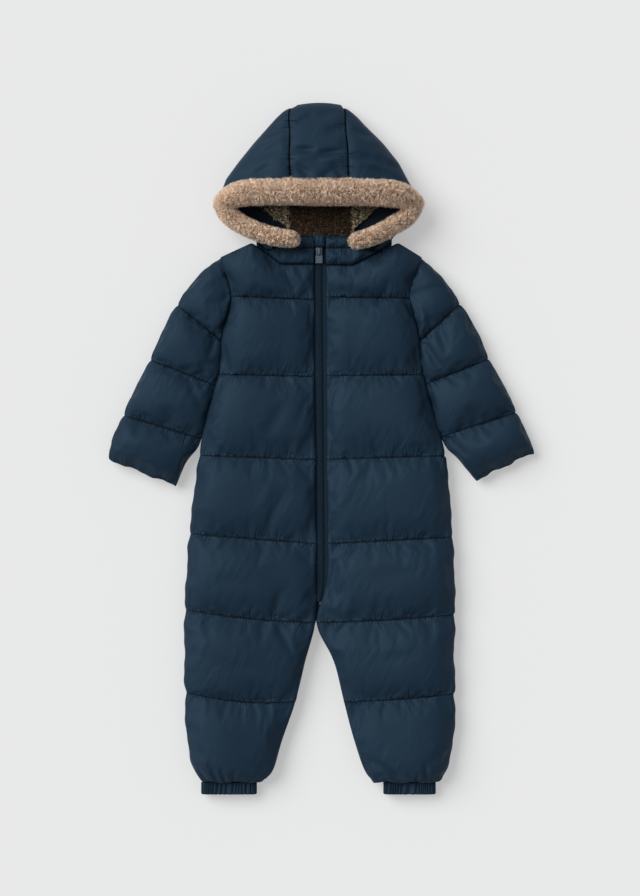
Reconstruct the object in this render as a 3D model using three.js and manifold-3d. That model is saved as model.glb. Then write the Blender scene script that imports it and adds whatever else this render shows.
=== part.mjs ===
// A baby's padded all-in-one snowsuit with a fur-edged hood, laid flat on its back and zipped up.
// Millimetres, +Z up. The floor is z = 0, the origin is the middle of the suit's footprint on it, +Y runs
// towards the hood and +X towards the wearer's left. "right" and "left" are the wearer's own.
// Every padded piece is a wall: quilted on its outer face, plain on its inner one. The two fronts lie on
// the two backs, each sleeve and ankle band is a flattened tube, and the hood is an open padded bag.
import * as THREE from "three";
import { mergeVertices } from "three/addons/utils/BufferGeometryUtils.js";
import Module from "manifold-3d";

const wasm = await Module();
wasm.setup();

// Driving dimensions
const SEAM_GAP = 0.3; // between neighbouring pieces
const BACK_INSIDE = 15.7; // height of the backs' inner face
const FRONT_INSIDE = BACK_INSIDE + SEAM_GAP; // the fronts lie on the backs
const FRONT_CREST = 22; // padding of a front at the middle of a channel
const FRONT_STITCHED = 10; // and on a line of quilting
const SEAM_THICKNESS = 3; // at a side or leg seam
const ZIP_EDGE_THICKNESS = 8; // at the zip, where the front is turned under
const SEAM_ROLL = 26; // how far in from a seam the padding reaches its full height
const BACK_ROLL = 18; // the same on the backs, whose outer face rests on the floor
const OUTLINE_NOTCH = 1.6; // how far a line of quilting draws in the side seam
const GATHER_DEPTH = 1.1; // puckers along a line of quilting
const GATHER_REACH = 9; // how far they run from it
const BACK_NECK_Y = 237.5; // the back neck seam
const ROOM = { x: 400, y: 600, z: 200 }; // more than the suit fills, for cutting tools
const BEYOND = 40; // how far past a plane a piece is drawn before it is cut there

// How finely the pieces are divided
const FRONT_COLUMNS = 18;
const FRONT_ROWS = 6; // in each channel
const BACK_ROWS = 4;
const SLEEVE_ROWS = 5;

// Stations of a body half from the ankle up: the inner end of each section (inner leg or zip) and its outer
// end (side seam or armhole), as distances from the centre front, and how far its middle hangs below the
// straight line between them. A quilted station carries a line of stitching.
const HALVES = {
  right: {
    side: -1,
    stations: [
      { at: "ankle", innerX: 69.6, innerY: -400.5, outerX: 142.8, outerY: -400.2, sag: 0, quilted: true },
      { at: "shin", innerX: 57.6, innerY: -389, outerX: 152.6, outerY: -383, sag: 1, quilted: false },
      { at: "calf", innerX: 46.2, innerY: -352.8, outerX: 160, outerY: -345, sag: 3, quilted: false },
      { at: "knee", innerX: 29.4, innerY: -304.1, outerX: 163.2, outerY: -292.8, sag: 5.6, quilted: true },
      { at: "thigh", innerX: 17.8, innerY: -256.5, outerX: 162.6, outerY: -243, sag: 4, quilted: false },
      { at: "crotch", innerX: 5.6, innerY: -209.4, outerX: 163.4, outerY: -193.8, sag: 3, quilted: true },
      { at: "hip", innerX: 4.6, innerY: -162, outerX: 160, outerY: -150, sag: 1.5, quilted: false },
      { at: "seat", innerX: 4.9, innerY: -114.7, outerX: 157.8, outerY: -103.2, sag: 0, quilted: true },
      { at: "waist", innerX: 5.2, innerY: -64.2, outerX: 151.4, outerY: -56, sag: 0, quilted: false },
      { at: "ribs", innerX: 5.5, innerY: -13.8, outerX: 146, outerY: -9.1, sag: 0, quilted: true },
      { at: "chest", innerX: 6.2, innerY: 36, outerX: 136, outerY: 39.5, sag: 0, quilted: false },
      { at: "bust", innerX: 7.2, innerY: 86, outerX: 122, outerY: 88.1, sag: 0, quilted: true },
      { at: "armpit", innerX: 7.4, innerY: 138, outerX: 117.2, outerY: 139.2, sag: 0, quilted: false },
      { at: "yoke", innerX: 7.4, innerY: 178, outerX: 109.6, outerY: 182, sag: 0, quilted: true },
      { at: "shoulder", innerX: 7.4, innerY: 220.2, outerX: 119.8, outerY: 228.6, sag: 0, quilted: true },
    ],
    neckline: { flatTo: 47, sideX: 81.6, sideY: 246 },
    backNeckTo: 67,
    collarTo: 78,
  },
  left: {
    side: 1,
    stations: [
      { at: "ankle", innerX: 64.3, innerY: -400.5, outerX: 146.2, outerY: -400.2, sag: 0, quilted: true },
      { at: "shin", innerX: 55.2, innerY: -390, outerX: 152.6, outerY: -384, sag: 1, quilted: false },
      { at: "calf", innerX: 41.4, innerY: -352, outerX: 160.4, outerY: -349, sag: 1, quilted: false },
      { at: "knee", innerX: 28.8, innerY: -304.7, outerX: 163.2, outerY: -295, sag: 1.2, quilted: true },
      { at: "thigh", innerX: 16.6, innerY: -256, outerX: 160.8, outerY: -248, sag: 1, quilted: false },
      { at: "crotch", innerX: -4.2, innerY: -209.4, outerX: 163, outerY: -200, sag: 1.4, quilted: true },
      { at: "hip", innerX: 8.2, innerY: -162, outerX: 161.4, outerY: -152.5, sag: 0.5, quilted: false },
      { at: "seat", innerX: 9.6, innerY: -114.7, outerX: 160.2, outerY: -107, sag: 0, quilted: true },
      { at: "waist", innerX: 9, innerY: -63, outerX: 155.6, outerY: -57, sag: 0, quilted: false },
      { at: "ribs", innerX: 8.3, innerY: -13.4, outerX: 151.6, outerY: -9.6, sag: 0, quilted: true },
      { at: "chest", innerX: 8.3, innerY: 36, outerX: 137.2, outerY: 39.6, sag: 0, quilted: false },
      { at: "bust", innerX: 8.3, innerY: 87, outerX: 124.2, outerY: 87.6, sag: 0, quilted: true },
      { at: "armpit", innerX: 7.8, innerY: 139, outerX: 118.4, outerY: 139.2, sag: 0, quilted: false },
      { at: "yoke", innerX: 7.2, innerY: 181.2, outerX: 110.2, outerY: 179.4, sag: 0, quilted: true },
      { at: "shoulder", innerX: 7.2, innerY: 219.2, outerX: 122.4, outerY: 228.6, sag: 0, quilted: true },
    ],
    neckline: { flatTo: 39.2, sideX: 93.6, sideY: 246 },
    backNeckTo: 78,
    collarTo: 88,
  },
};

// Stations of a sleeve from the armhole to the wrist: the ends of each section on the outer and the inner
// side of the arm, as distances from the centre front.
const SLEEVES = {
  right: [
    { at: "armhole", outerX: 120.1, outerY: 228.6, innerX: 117.8, innerY: 139.2, quilted: true },
    { at: "cap", outerX: 144, outerY: 210.5, innerX: 119.4, innerY: 134, quilted: false },
    { at: "upper arm", outerX: 172.6, outerY: 172.8, innerX: 120.6, innerY: 127, quilted: true },
    { at: "above elbow", outerX: 189.4, outerY: 141, innerX: 122.4, innerY: 100, quilted: false },
    { at: "elbow", outerX: 205.4, outerY: 106.2, innerX: 127.6, innerY: 74.4, quilted: true },
    { at: "below elbow", outerX: 223.4, outerY: 70, innerX: 136.6, innerY: 42, quilted: false },
    { at: "forearm", outerX: 237.4, outerY: 39.6, innerX: 145, innerY: 10.8, quilted: true },
    { at: "above wrist", outerX: 247.6, outerY: 16, innerX: 160, innerY: -16, quilted: false },
    { at: "wrist", outerX: 254.4, outerY: -10, innerX: 173, innerY: -45.1, quilted: true },
  ],
  left: [
    { at: "armhole", outerX: 122.7, outerY: 228.6, innerX: 119, innerY: 139.2, quilted: true },
    { at: "cap", outerX: 146.4, outerY: 206.5, innerX: 120.6, innerY: 134, quilted: false },
    { at: "upper arm", outerX: 169.4, outerY: 174, innerX: 122.2, innerY: 127, quilted: true },
    { at: "above elbow", outerX: 188.4, outerY: 142, innerX: 124.2, innerY: 100, quilted: false },
    { at: "elbow", outerX: 204.2, outerY: 107.6, innerX: 129.2, innerY: 76, quilted: true },
    { at: "below elbow", outerX: 223.8, outerY: 71, innerX: 138.2, innerY: 43.2, quilted: false },
    { at: "forearm", outerX: 237.2, outerY: 43.2, innerX: 147.6, innerY: 13, quilted: true },
    { at: "above wrist", outerX: 248.4, outerY: 19.2, innerX: 166, innerY: -13.2, quilted: false },
    { at: "wrist", outerX: 257.6, outerY: -4, innerX: 189, innerY: -38, quilted: true },
  ],
};
const SLEEVE_MIDDLE = 13; // height of a sleeve's widest line
const SLEEVE_CREST = 35;
const SLEEVE_STITCHED = 22;
const SLEEVE_NOTCH = 2.6;
const SLIT = 1.2; // height of the flattened hollow
const WRIST_SLIT = 3.4; // and where the hem stands open
const WRIST_HEM = 8; // how much lower the sleeve is at its turned hem

// The largest folds on the fronts and sleeves: the middle of each soft trough, its direction from +X in
// degrees, and its size. Each lies on whatever piece is there.
const FOLDS = [
  { x: -52, y: -186, angle: 82, length: 38, width: 6, depth: 3.2 },
  { x: -43, y: -227, angle: -58, length: 44, width: 6, depth: 4.2 },
  { x: -52, y: -72, angle: 62, length: 58, width: 8, depth: 3 },
  { x: -34, y: -112, angle: 75, length: 34, width: 6, depth: 2.6 },
  { x: -54, y: 34, angle: 60, length: 56, width: 9, depth: 2.8 },
  { x: -22, y: 44, angle: 72, length: 60, width: 7, depth: 2.6 },
  { x: -36, y: 201, angle: -52, length: 40, width: 6, depth: 3.4 },
  { x: 15, y: -160, angle: 84, length: 56, width: 6, depth: 4 },
  { x: 36, y: -18, angle: -70, length: 34, width: 5, depth: 3 },
  { x: 68, y: -4, angle: -66, length: 32, width: 5, depth: 3 },
  { x: 76, y: 186, angle: 60, length: 40, width: 7, depth: 2.8 },
  { x: 44, y: -322, angle: -60, length: 30, width: 6, depth: 2.6 },
  { x: -150, y: 62, angle: -62, length: 40, width: 7, depth: 4 },
  { x: -129, y: 122, angle: 75, length: 34, width: 6, depth: 3.6 },
  { x: 148, y: 128, angle: -76, length: 38, width: 6, depth: 3.8 },
  { x: 134, y: 112, angle: -64, length: 36, width: 6, depth: 3.8 },
];

// The hood, as sections of a bag from the neck to the crown: its reach on each side of the centre front, the
// height of its widest line, and the heights of its upper and lower faces.
const HOOD_SECTIONS = [
  { y: 238, right: 64, left: 73, middle: 33, top: 46, base: 0 },
  { y: 247, right: 74, left: 84, middle: 34, top: 47, base: 0 },
  { y: 257, right: 85, left: 92, middle: 34, top: 48, base: 0 },
  { y: 268, right: 99, left: 102, middle: 32, top: 49, base: 0 },
  { y: 280, right: 112, left: 112, middle: 29, top: 51, base: 0 },
  { y: 292, right: 118, left: 116, middle: 27, top: 54, base: 0 },
  { y: 304, right: 119, left: 115, middle: 25, top: 57, base: 0 },
  { y: 322, right: 113, left: 105, middle: 22, top: 58, base: 0 },
  { y: 342, right: 98.6, left: 94.7, middle: 19, top: 55, base: 0 },
  { y: 366, right: 79.5, left: 75.6, middle: 16, top: 48, base: 0 },
  { y: 387, right: 61, left: 54.5, middle: 14, top: 38, base: 0 },
  { y: 397, right: 52, left: 45.4, middle: 13, top: 33, base: 0 },
  { y: 404, right: 44.5, left: 37.5, middle: 12.5, top: 28, base: 0 },
  { y: 408.4, right: 38.5, left: 31, middle: 12, top: 23.5, base: 1.5, bow: 1.2 },
  { y: 411, right: 29, left: 27, middle: 11, top: 17, base: 5, bow: 3 },
]; // bow: how far the middle of a section runs ahead of its ends
const HOOD_POINTS = { outside: 32, inside: 20 }; // round a section
const SHELL_THICKNESS = 10; // padded outer cloth
const LINING_THICKNESS = 5; // pile lining
const LINING_NECK_Y = 243; // where it is turned in above the neck seam
const CROWN_PANEL = [
  { y: 216, right: -33, left: 35 },
  { y: 309, right: -35.5, left: 35.5 },
  { y: 430, right: -37.5, left: 28.5 },
]; // the seams of the hood's middle panel
const SEAM_DIP = { depth: 3.5, width: 7 }; // how far the middle panel's seams sink into the padding

// The edge of the face opening seen from the side: low along the arms, then up over the brim.
const RIM_PROFILE = [
  { y: 200, z: 33 },
  { y: 257, z: 33 },
  { y: 280, z: 28 },
  { y: 298, z: 26 },
  { y: 308, z: 40 },
];
const LINING_PROFILE = [
  { y: 200, z: 26 },
  { y: 257, z: 25 },
  { y: 280, z: 20 },
  { y: 296, z: 18 },
  { y: 312, z: 26 },
]; // the lining stops lower, below a plain facing

// The fur roll: its centre line and radius, as three rolls that run into each other at the brim's corners.
const FUR_BRIM = [
  { x: -112, y: 297.5, z: 35, radius: 12.5 },
  { x: -96, y: 306, z: 41, radius: 15.5 },
  { x: -60, y: 309, z: 47, radius: 16.8 },
  { x: 0, y: 308.5, z: 50, radius: 17 },
  { x: 60, y: 308, z: 48, radius: 16.8 },
  { x: 96, y: 304, z: 42, radius: 15.5 },
  { x: 112, y: 295.5, z: 35, radius: 12.5 },
];
const FUR_ARMS = {
  right: [
    { x: -114, y: 296, z: 31, radius: 12.5 },
    { x: -106, y: 278, z: 33, radius: 12.2 },
    { x: -84, y: 262.5, z: 38, radius: 12 },
    { x: -56, y: 253, z: 44, radius: 11.8 },
    { x: -33, y: 249, z: 47, radius: 11 },
  ],
  left: [
    { x: 114, y: 294, z: 31, radius: 12.5 },
    { x: 106, y: 278.5, z: 33, radius: 12.2 },
    { x: 86, y: 265, z: 38, radius: 12 },
    { x: 62, y: 252.5, z: 44, radius: 11.8 },
    { x: 43, y: 247, z: 47, radius: 11 },
  ],
};
const FUR_POINTS = 12; // round the roll

// The collar below the fur, in two halves on top of the neck
const COLLAR = { inside: 19, crest: 14, stitched: 8, topY: 254, stitchY: 239.5, edge: 6 };

// Elastic bands at the ankles: a flattened tube of gathered cloth
const BANDS = {
  right: { x: -109.4, halfWidth: 33.5 },
  left: { x: 107.6, halfWidth: 31.5 },
};
const BAND = { topY: -400.8, bottomY: -416.4, height: 20, wall: 5, gathers: 24, wave: 1 };

// The zip
const ZIP = { tapeBottom: 19, tapeTop: 21, chainTop: 23.5, chainHalfWidth: 2.6, topY: 253, bottomY: -184 };
const SLIDER = { x: -1.2, width: 8.4, bottomY: 231, topY: 240.6, plateTop: 25.6 };
const BRIDGE = { width: 2.4, bottomY: 232, topY: 239.4, post: 1.4, bar: 1.3, top: 30, root: 0.5 };
const PULL = { pivotY: 236.9, pivotZ: 27, rod: 0.8, width: 8.8, length: 15.6, thickness: 1.6, corner: 1.6 };
const PULL_ARM = { inner: 1.7, outer: 3.6, end: -6.6, thickness: 1, overlap: 0.4 };
const PULL_TILT = THREE.MathUtils.degToRad(5); // the pull lies a little nose down on the zip
const GARAGE = { right: -7, left: 6.8, bottomY: 241, topY: 256, bottom: 23.9, top: 34 };

// Cloth and fittings
const shellCloth = new THREE.MeshStandardMaterial({ color: 0x1b2f42, roughness: 0.55, metalness: 0 });
const pileCloth = new THREE.MeshStandardMaterial({ color: 0x4d4233, roughness: 0.95, metalness: 0 });
const furCloth = new THREE.MeshStandardMaterial({ color: 0xa68c76, roughness: 0.95, metalness: 0 });
const zipCloth = new THREE.MeshStandardMaterial({ color: 0x1a2a38, roughness: 0.7, metalness: 0 });
const pullPlastic = new THREE.MeshStandardMaterial({ color: 0x33475a, roughness: 0.4, metalness: 0 });

// A closed solid from points and triangles, turned to face out.
function closedSolid(points, triangles) {
  let volume = 0;
  for (const [a, b, c] of triangles) {
    volume += points[a].dot(new THREE.Vector3().crossVectors(points[b], points[c]));
  }
  const outward = volume < 0 ? triangles.map(([a, b, c]) => [a, c, b]) : triangles;
  return new wasm.Manifold(
    new wasm.Mesh({
      numProp: 3,
      vertProperties: Float32Array.from(points.flatMap((p) => [p.x, p.y, p.z])),
      triVerts: Uint32Array.from(outward.flat()),
    }),
  );
}

function solidOf(geometry) {
  const bare = geometry.clone();
  bare.deleteAttribute("normal");
  bare.deleteAttribute("uv");
  const merged = mergeVertices(bare, 1e-4);
  return new wasm.Manifold(
    new wasm.Mesh({
      numProp: 3,
      vertProperties: new Float32Array(merged.attributes.position.array),
      triVerts: new Uint32Array(merged.index.array),
    }),
  );
}

function geometryOf(solid) {
  const mesh = solid.getMesh();
  const stride = mesh.numProp;
  const position = new Float32Array(mesh.numVert * 3);
  for (let i = 0; i < mesh.numVert; i++) {
    position.set(mesh.vertProperties.subarray(i * stride, i * stride + 3), i * 3);
  }
  const geometry = new THREE.BufferGeometry();
  geometry.setAttribute("position", new THREE.BufferAttribute(position, 3));
  geometry.setIndex(new THREE.BufferAttribute(new Uint32Array(mesh.triVerts), 1));
  geometry.computeVertexNormals();
  return geometry;
}

function box(lowX, lowY, lowZ, highX, highY, highZ) {
  const geometry = new THREE.BoxGeometry(highX - lowX, highY - lowY, highZ - lowZ);
  geometry.translate((lowX + highX) / 2, (lowY + highY) / 2, (lowZ + highZ) / 2);
  return solidOf(geometry);
}

// A solid through rings of the same number of points, closed by a fan at each end.
function loft(rings) {
  const count = rings[0].length;
  const points = rings.flat();
  const triangles = [];
  for (let j = 0; j + 1 < rings.length; j++) {
    for (let i = 0; i < count; i++) {
      const a = j * count + i;
      const b = j * count + ((i + 1) % count);
      triangles.push([a, b, b + count], [a, b + count, a + count]);
    }
  }
  for (const [ring, first] of [[rings[0], 0], [rings.at(-1), points.length - count]]) {
    const centre = new THREE.Vector3();
    ring.forEach((p) => centre.addScaledVector(p, 1 / count));
    const middle = points.push(centre) - 1;
    for (let i = 0; i < count; i++) {
      const pair = [first + i, first + ((i + 1) % count)];
      triangles.push(first ? [pair[0], pair[1], middle] : [pair[1], pair[0], middle]);
    }
  }
  return closedSolid(points, triangles);
}

// A wall between a grid of points on its shaped face and a flat inner face at height planeZ.
function wallOnPlane(rows, planeZ) {
  const above = rows[0][0].z > planeZ;
  const far = above ? planeZ - BEYOND : planeZ + BEYOND;
  const columns = rows[0].length;
  const shaped = rows.flat();
  const flat = shaped.map((p) => new THREE.Vector3(p.x, p.y, far));
  const count = shaped.length;
  const triangles = [];
  const quad = (a, b, c, d) => triangles.push([a, b, c], [a, c, d]);
  for (let j = 0; j + 1 < rows.length; j++) {
    for (let i = 0; i + 1 < columns; i++) {
      const a = j * columns + i;
      const c = a + columns;
      quad(a, a + 1, c + 1, c);
      quad(count + c, count + c + 1, count + a + 1, count + a);
    }
    const start = j * columns;
    const end = start + columns - 1;
    quad(start + columns, start + columns + count, start + count, start);
    quad(end, end + count, end + columns + count, end + columns);
  }
  const last = (rows.length - 1) * columns;
  for (let i = 0; i + 1 < columns; i++) {
    quad(i, i + count, i + 1 + count, i + 1);
    quad(last + i + 1, last + i + 1 + count, last + i + count, last + i);
  }
  const keep = above ? [planeZ, ROOM.z] : [-ROOM.z, planeZ];
  const side = box(-ROOM.x, -ROOM.y, keep[0], ROOM.x, ROOM.y, keep[1]);
  return closedSolid([...shaped, ...flat], triangles).intersect(side);
}

// 0 at an edge to 1 at a distance of reach, rising like the side of a roll.
function roll(distance, reach) {
  const left = 1 - Math.min(Math.max(distance / reach, 0), 1);
  return Math.sqrt(1 - left * left);
}

// 0 on a line of stitching to 1 at the middle of a channel, for a share of the way across it.
function puff(share) {
  return Math.sin(Math.PI * share) ** 0.6;
}

// How deep the folds are at a point.
function foldDepth(x, y) {
  let depth = 0;
  for (const fold of FOLDS) {
    const angle = THREE.MathUtils.degToRad(fold.angle);
    const dx = x - fold.x;
    const dy = y - fold.y;
    const along = (dx * Math.cos(angle) + dy * Math.sin(angle)) / (fold.length / 2);
    const across = (dy * Math.cos(angle) - dx * Math.sin(angle)) / fold.width;
    if (Math.abs(along) < 1) depth += fold.depth * (1 - along * along) * Math.exp(-across * across);
  }
  return depth;
}

// The places of the sections between stations: closer together near the stitching.
function sectionPlaces(stations, rowsInChannel) {
  const stitched = stations.flatMap((station, index) => (station.quilted ? [index] : []));
  const places = [];
  for (let k = 0; k + 1 < stitched.length; k++) {
    for (let r = 0; r < rowsInChannel; r++) {
      const share = 0.5 - 0.5 * Math.cos((Math.PI * r) / rowsInChannel);
      const at = stitched[k] + share * (stitched[k + 1] - stitched[k]);
      places.push({ at, share, channel: k });
    }
  }
  places.push({ at: stitched.at(-1), share: 0, channel: stitched.length - 1 });
  return places;
}

// Curves through the stations' inner and outer ends.
function endCurves(stations) {
  const curve = (points) => new THREE.CatmullRomCurve3(points);
  return {
    inner: curve(stations.map((s) => new THREE.Vector3(s.innerX, s.innerY, s.sag ?? 0))),
    outer: curve(stations.map((s) => new THREE.Vector3(s.outerX, s.outerY, 0))),
  };
}

// Columns from 0 to 1, a little closer together near both ends.
function columnShares(columns) {
  return Array.from({ length: columns + 1 }, (_, i) => {
    const share = i / columns;
    return share - (0.5 * Math.sin(2 * Math.PI * share)) / (2 * Math.PI);
  });
}

// The top edge of a half: along the neck to its side, then down the shoulder to the armhole.
function topEdge(half, x, neck) {
  const { sideX, sideY } = half.neckline;
  const shoulder = half.stations.at(-1);
  if (x <= neck.flatTo) return neck.y;
  if (x <= sideX) return neck.y + ((x - neck.flatTo) / (sideX - neck.flatTo)) * (sideY - neck.y);
  return sideY + ((x - sideX) / (shoulder.outerX - sideX)) * (shoulder.outerY - sideY);
}

// A point of a body half seen from above: across from the inner end (0) to the outer end (1), at a place
// among the stations.
function halfPoint(half, curves, place, across, neck, innerX) {
  const last = half.stations.length - 1;
  const inner = curves.inner.getPoint(place.at / last);
  const outer = curves.outer.getPoint(place.at / last);
  const notch = place.at > last - 3 ? 0 : OUTLINE_NOTCH * (1 - puff(place.share));
  const startX = innerX === undefined ? inner.x : innerX(inner.x, inner.y);
  const x = startX + across * (outer.x - notch - startX);
  const y = inner.y + across * (outer.y - inner.y) - inner.z * 4 * across * (1 - across);
  const top = half.stations[last];
  const topX = THREE.MathUtils.lerp(innerX === undefined ? top.innerX : startX, top.outerX, across);
  const lift = topEdge(half, topX, neck) - THREE.MathUtils.lerp(top.innerY, top.outerY, across);
  return { x, y: y + Math.max(0, place.at - (last - 1)) * lift, width: outer.x - startX };
}

// A front: zip to side seam, neck to ankle, quilted across.
function front(half) {
  const curves = endCurves(half.stations);
  const neck = { y: half.stations.at(-1).innerY, flatTo: half.neckline.flatTo };
  const crotch = half.stations.findIndex((s) => s.at === "crotch");
  const rows = sectionPlaces(half.stations, FRONT_ROWS).map((place) =>
    columnShares(FRONT_COLUMNS).map((across, column) => {
      const { x, y, width } = halfPoint(half, curves, place, across, neck);
      const atZip = THREE.MathUtils.clamp(place.at - crotch, 0, 1);
      const innerEdge = THREE.MathUtils.lerp(SEAM_THICKNESS, ZIP_EDGE_THICKNESS, atZip);
      const edge = THREE.MathUtils.lerp(innerEdge, SEAM_THICKNESS, across);
      const rise = Math.min(roll(across * width, SEAM_ROLL), roll((1 - across) * width, SEAM_ROLL));
      const crest = FRONT_STITCHED + (FRONT_CREST - FRONT_STITCHED) * puff(place.share);
      const toStitching = Math.min(place.share, 1 - place.share) * 95;
      const uneven = 0.65 + 0.35 * Math.sin(2.3 * column + 1.7 * place.channel);
      const gather = GATHER_DEPTH * uneven * (column % 2 ? 1 : -1) * Math.exp(-toStitching / GATHER_REACH);
      const height = edge + (crest - edge) * rise + rise * (gather - foldDepth(half.side * x, y));
      return new THREE.Vector3(half.side * x, y, FRONT_INSIDE + Math.max(height, 2));
    }),
  );
  return wallOnPlane(rows, FRONT_INSIDE);
}

// A back: centre back seam to side seam, back neck to ankle, its outer face flat on the floor.
function back(half) {
  const curves = endCurves(half.stations);
  const neck = { y: BACK_NECK_Y, flatTo: half.backNeckTo };
  const crotchY = half.stations.find((s) => s.at === "crotch").innerY;
  const centreBack = (x, y) => {
    const share = THREE.MathUtils.smoothstep(y, crotchY, crotchY + 30);
    return THREE.MathUtils.lerp(x, SEAM_GAP / 2, share);
  };
  const shoulderX = half.stations.at(-1).outerX;
  const shares = [0, 0.025, 0.07, 0.14, 0.35, half.backNeckTo / shoulderX, half.neckline.sideX / shoulderX];
  shares.push(0.86, 0.93, 0.975, 1);
  const rows = sectionPlaces(half.stations, BACK_ROWS).map((place) =>
    shares.map((across) => {
      const { x, y, width } = halfPoint(half, curves, place, across, neck, centreBack);
      const innerRoll = roll(across * width + (y > crotchY ? BACK_ROLL : 0), BACK_ROLL);
      const rest = Math.min(innerRoll, roll((1 - across) * width, BACK_ROLL));
      return new THREE.Vector3(half.side * x, y, (BACK_INSIDE - SEAM_THICKNESS) * (1 - rest));
    }),
  );
  return wallOnPlane(rows, BACK_INSIDE);
}

// One section of a flattened tube between two ends seen from above, as shares across and heights.
function flatRing(ends, shape, lift) {
  return shape.map(({ across, height }) => {
    const p = ends(across);
    return new THREE.Vector3(p.x, p.y, lift(height, across));
  });
}

// Section of a sleeve: across from 0 to 1, height from -1 at the floor through 0 at the seams to 1 on top.
const SLEEVE_RING = [
  ...Array.from({ length: 11 }, (_, i) => (Math.PI * i) / 10),
  ...Array.from({ length: 5 }, (_, i) => Math.PI + (Math.PI * (i + 0.8)) / 5.6),
].map((turn) => {
  const sine = Math.sin(turn);
  const height = sine >= 0 ? Math.max(sine, 0) ** 0.75 : -Math.min(1, 1.2 * (-sine) ** 0.6);
  return { across: 0.5 - 0.5 * Math.cos(turn), height };
});
const SLIT_RING = [
  { across: 0.12, height: 0 },
  { across: 0.3, height: 1 },
  { across: 0.7, height: 1 },
  { across: 0.88, height: 0 },
  { across: 0.7, height: -1 },
  { across: 0.3, height: -1 },
];

// A sleeve: a padded tube laid flat, set into the armhole's curve.
function sleeve(half, stations) {
  const curves = endCurves(stations);
  const bodyCurves = endCurves(half.stations);
  const lastStation = stations.length - 1;
  const armhole = { armpit: half.stations.length - 3, shoulder: half.stations.length - 1 };
  const armholeX = (across) => {
    const at = THREE.MathUtils.lerp(armhole.shoulder, armhole.armpit, across);
    return bodyCurves.outer.getPoint(at / (half.stations.length - 1)).x + SEAM_GAP;
  };
  const ends = (place) => {
    const outer = curves.outer.getPoint(place.at / lastStation);
    const inner = curves.inner.getPoint(place.at / lastStation);
    const fade = Math.max(0, 1 - place.at / 2);
    const notch = place.at > 0 ? (SLEEVE_NOTCH * (1 - puff(place.share))) / outer.distanceTo(inner) : 0;
    return (share) => {
      const across = notch + share * (1 - 1.3 * notch);
      const chordX = THREE.MathUtils.lerp(outer.x, inner.x, across);
      const startX = THREE.MathUtils.lerp(stations[0].outerX, stations[0].innerX, across);
      const x = chordX + fade * (armholeX(across) - startX);
      return new THREE.Vector3(half.side * x, THREE.MathUtils.lerp(outer.y, inner.y, across), 0);
    };
  };
  const places = sectionPlaces(stations, SLEEVE_ROWS);
  const rings = places.map((place) => {
    const plan = ends(place);
    const hem = WRIST_HEM * THREE.MathUtils.smoothstep(place.at, lastStation - 0.5, lastStation);
    const crest = THREE.MathUtils.lerp(SLEEVE_STITCHED, SLEEVE_CREST, puff(place.share)) - hem;
    return flatRing(plan, SLEEVE_RING, (height, across) => {
      if (height < 0) return SLEEVE_MIDDLE * (1 + height);
      const p = plan(across);
      const top = SLEEVE_MIDDLE + (crest - SLEEVE_MIDDLE) * height;
      return Math.max(top - height * foldDepth(p.x, p.y), SLEEVE_MIDDLE + 3 * height);
    });
  });
  const slits = places.filter((_, i) => i % 3 === 0).map((place) => {
    const open = THREE.MathUtils.smoothstep(place.at, lastStation - 1, lastStation);
    const half = THREE.MathUtils.lerp(SLIT, WRIST_SLIT, open) / 2;
    return flatRing(ends(place), SLIT_RING, (height) => SLEEVE_MIDDLE + 1 + half * height);
  });
  const pushed = (ring, from, distance) => {
    const middle = (r) => r.reduce((sum, p) => sum.addScaledVector(p, 1 / r.length), new THREE.Vector3());
    const step = middle(ring).sub(middle(from)).setLength(distance);
    return ring.map((p) => p.clone().add(step));
  };
  slits.unshift(pushed(slits[0], slits[1], 25));
  slits.push(pushed(slits.at(-1), slits.at(-2), 6));
  return loft(rings).subtract(loft(slits));
}

// One section of the hood's bag, drawn in by inset, or grown where that is negative.
function hoodRing(section, inset) {
  const low = section.base + inset;
  const high = Math.max(section.top - inset, low + 1);
  const middle = THREE.MathUtils.clamp(section.middle, low + 0.4, high - 0.4);
  const count = inset > 0 ? HOOD_POINTS.inside : HOOD_POINTS.outside;
  return Array.from({ length: count }, (_, i) => {
    const turn = (2 * Math.PI * i) / count;
    const across = Math.cos(turn);
    const reach = (across < 0 ? section.right : section.left) - inset;
    const x = reach * across;
    const out = Math.abs(across);
    const under = 1 - Math.sqrt(Math.max(0, 1 - Math.max(0, (out - 0.5) / 0.5) ** 2));
    const over = Math.max(0, 1 - out ** 2.4) ** 0.45;
    const seam = crownSeams(section.y).map((s) => Math.exp(-(((x - s) / SEAM_DIP.width) ** 2)));
    const dip = inset > 0 ? 0 : SEAM_DIP.depth * (seam[0] + seam[1]) * over;
    const z = Math.sin(turn) >= 0 ? middle + (high - middle) * over - dip : low + (middle - low) * under;
    return new THREE.Vector3(x, section.y + (section.bow ?? 0) * (1 - across * across), z);
  });
}

function crownSeams(y) {
  const upper = y > CROWN_PANEL[1].y ? 1 : 0;
  const [a, b] = [CROWN_PANEL[upper], CROWN_PANEL[upper + 1]];
  const share = (y - a.y) / (b.y - a.y);
  return [THREE.MathUtils.lerp(a.right, b.right, share), THREE.MathUtils.lerp(a.left, b.left, share)];
}

// The hood's bag at an inset, run on past the neck so that it cuts right through, if it cuts.
function hoodBag(inset, past) {
  const sections = HOOD_SECTIONS.filter((s) => s.top - s.base > 2 * inset + 1.5);
  const rings = sections.map((s) => hoodRing(s, inset));
  if (past) rings.unshift(hoodRing({ ...sections[0], y: sections[0].y - past }, inset));
  return loft(rings);
}

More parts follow.
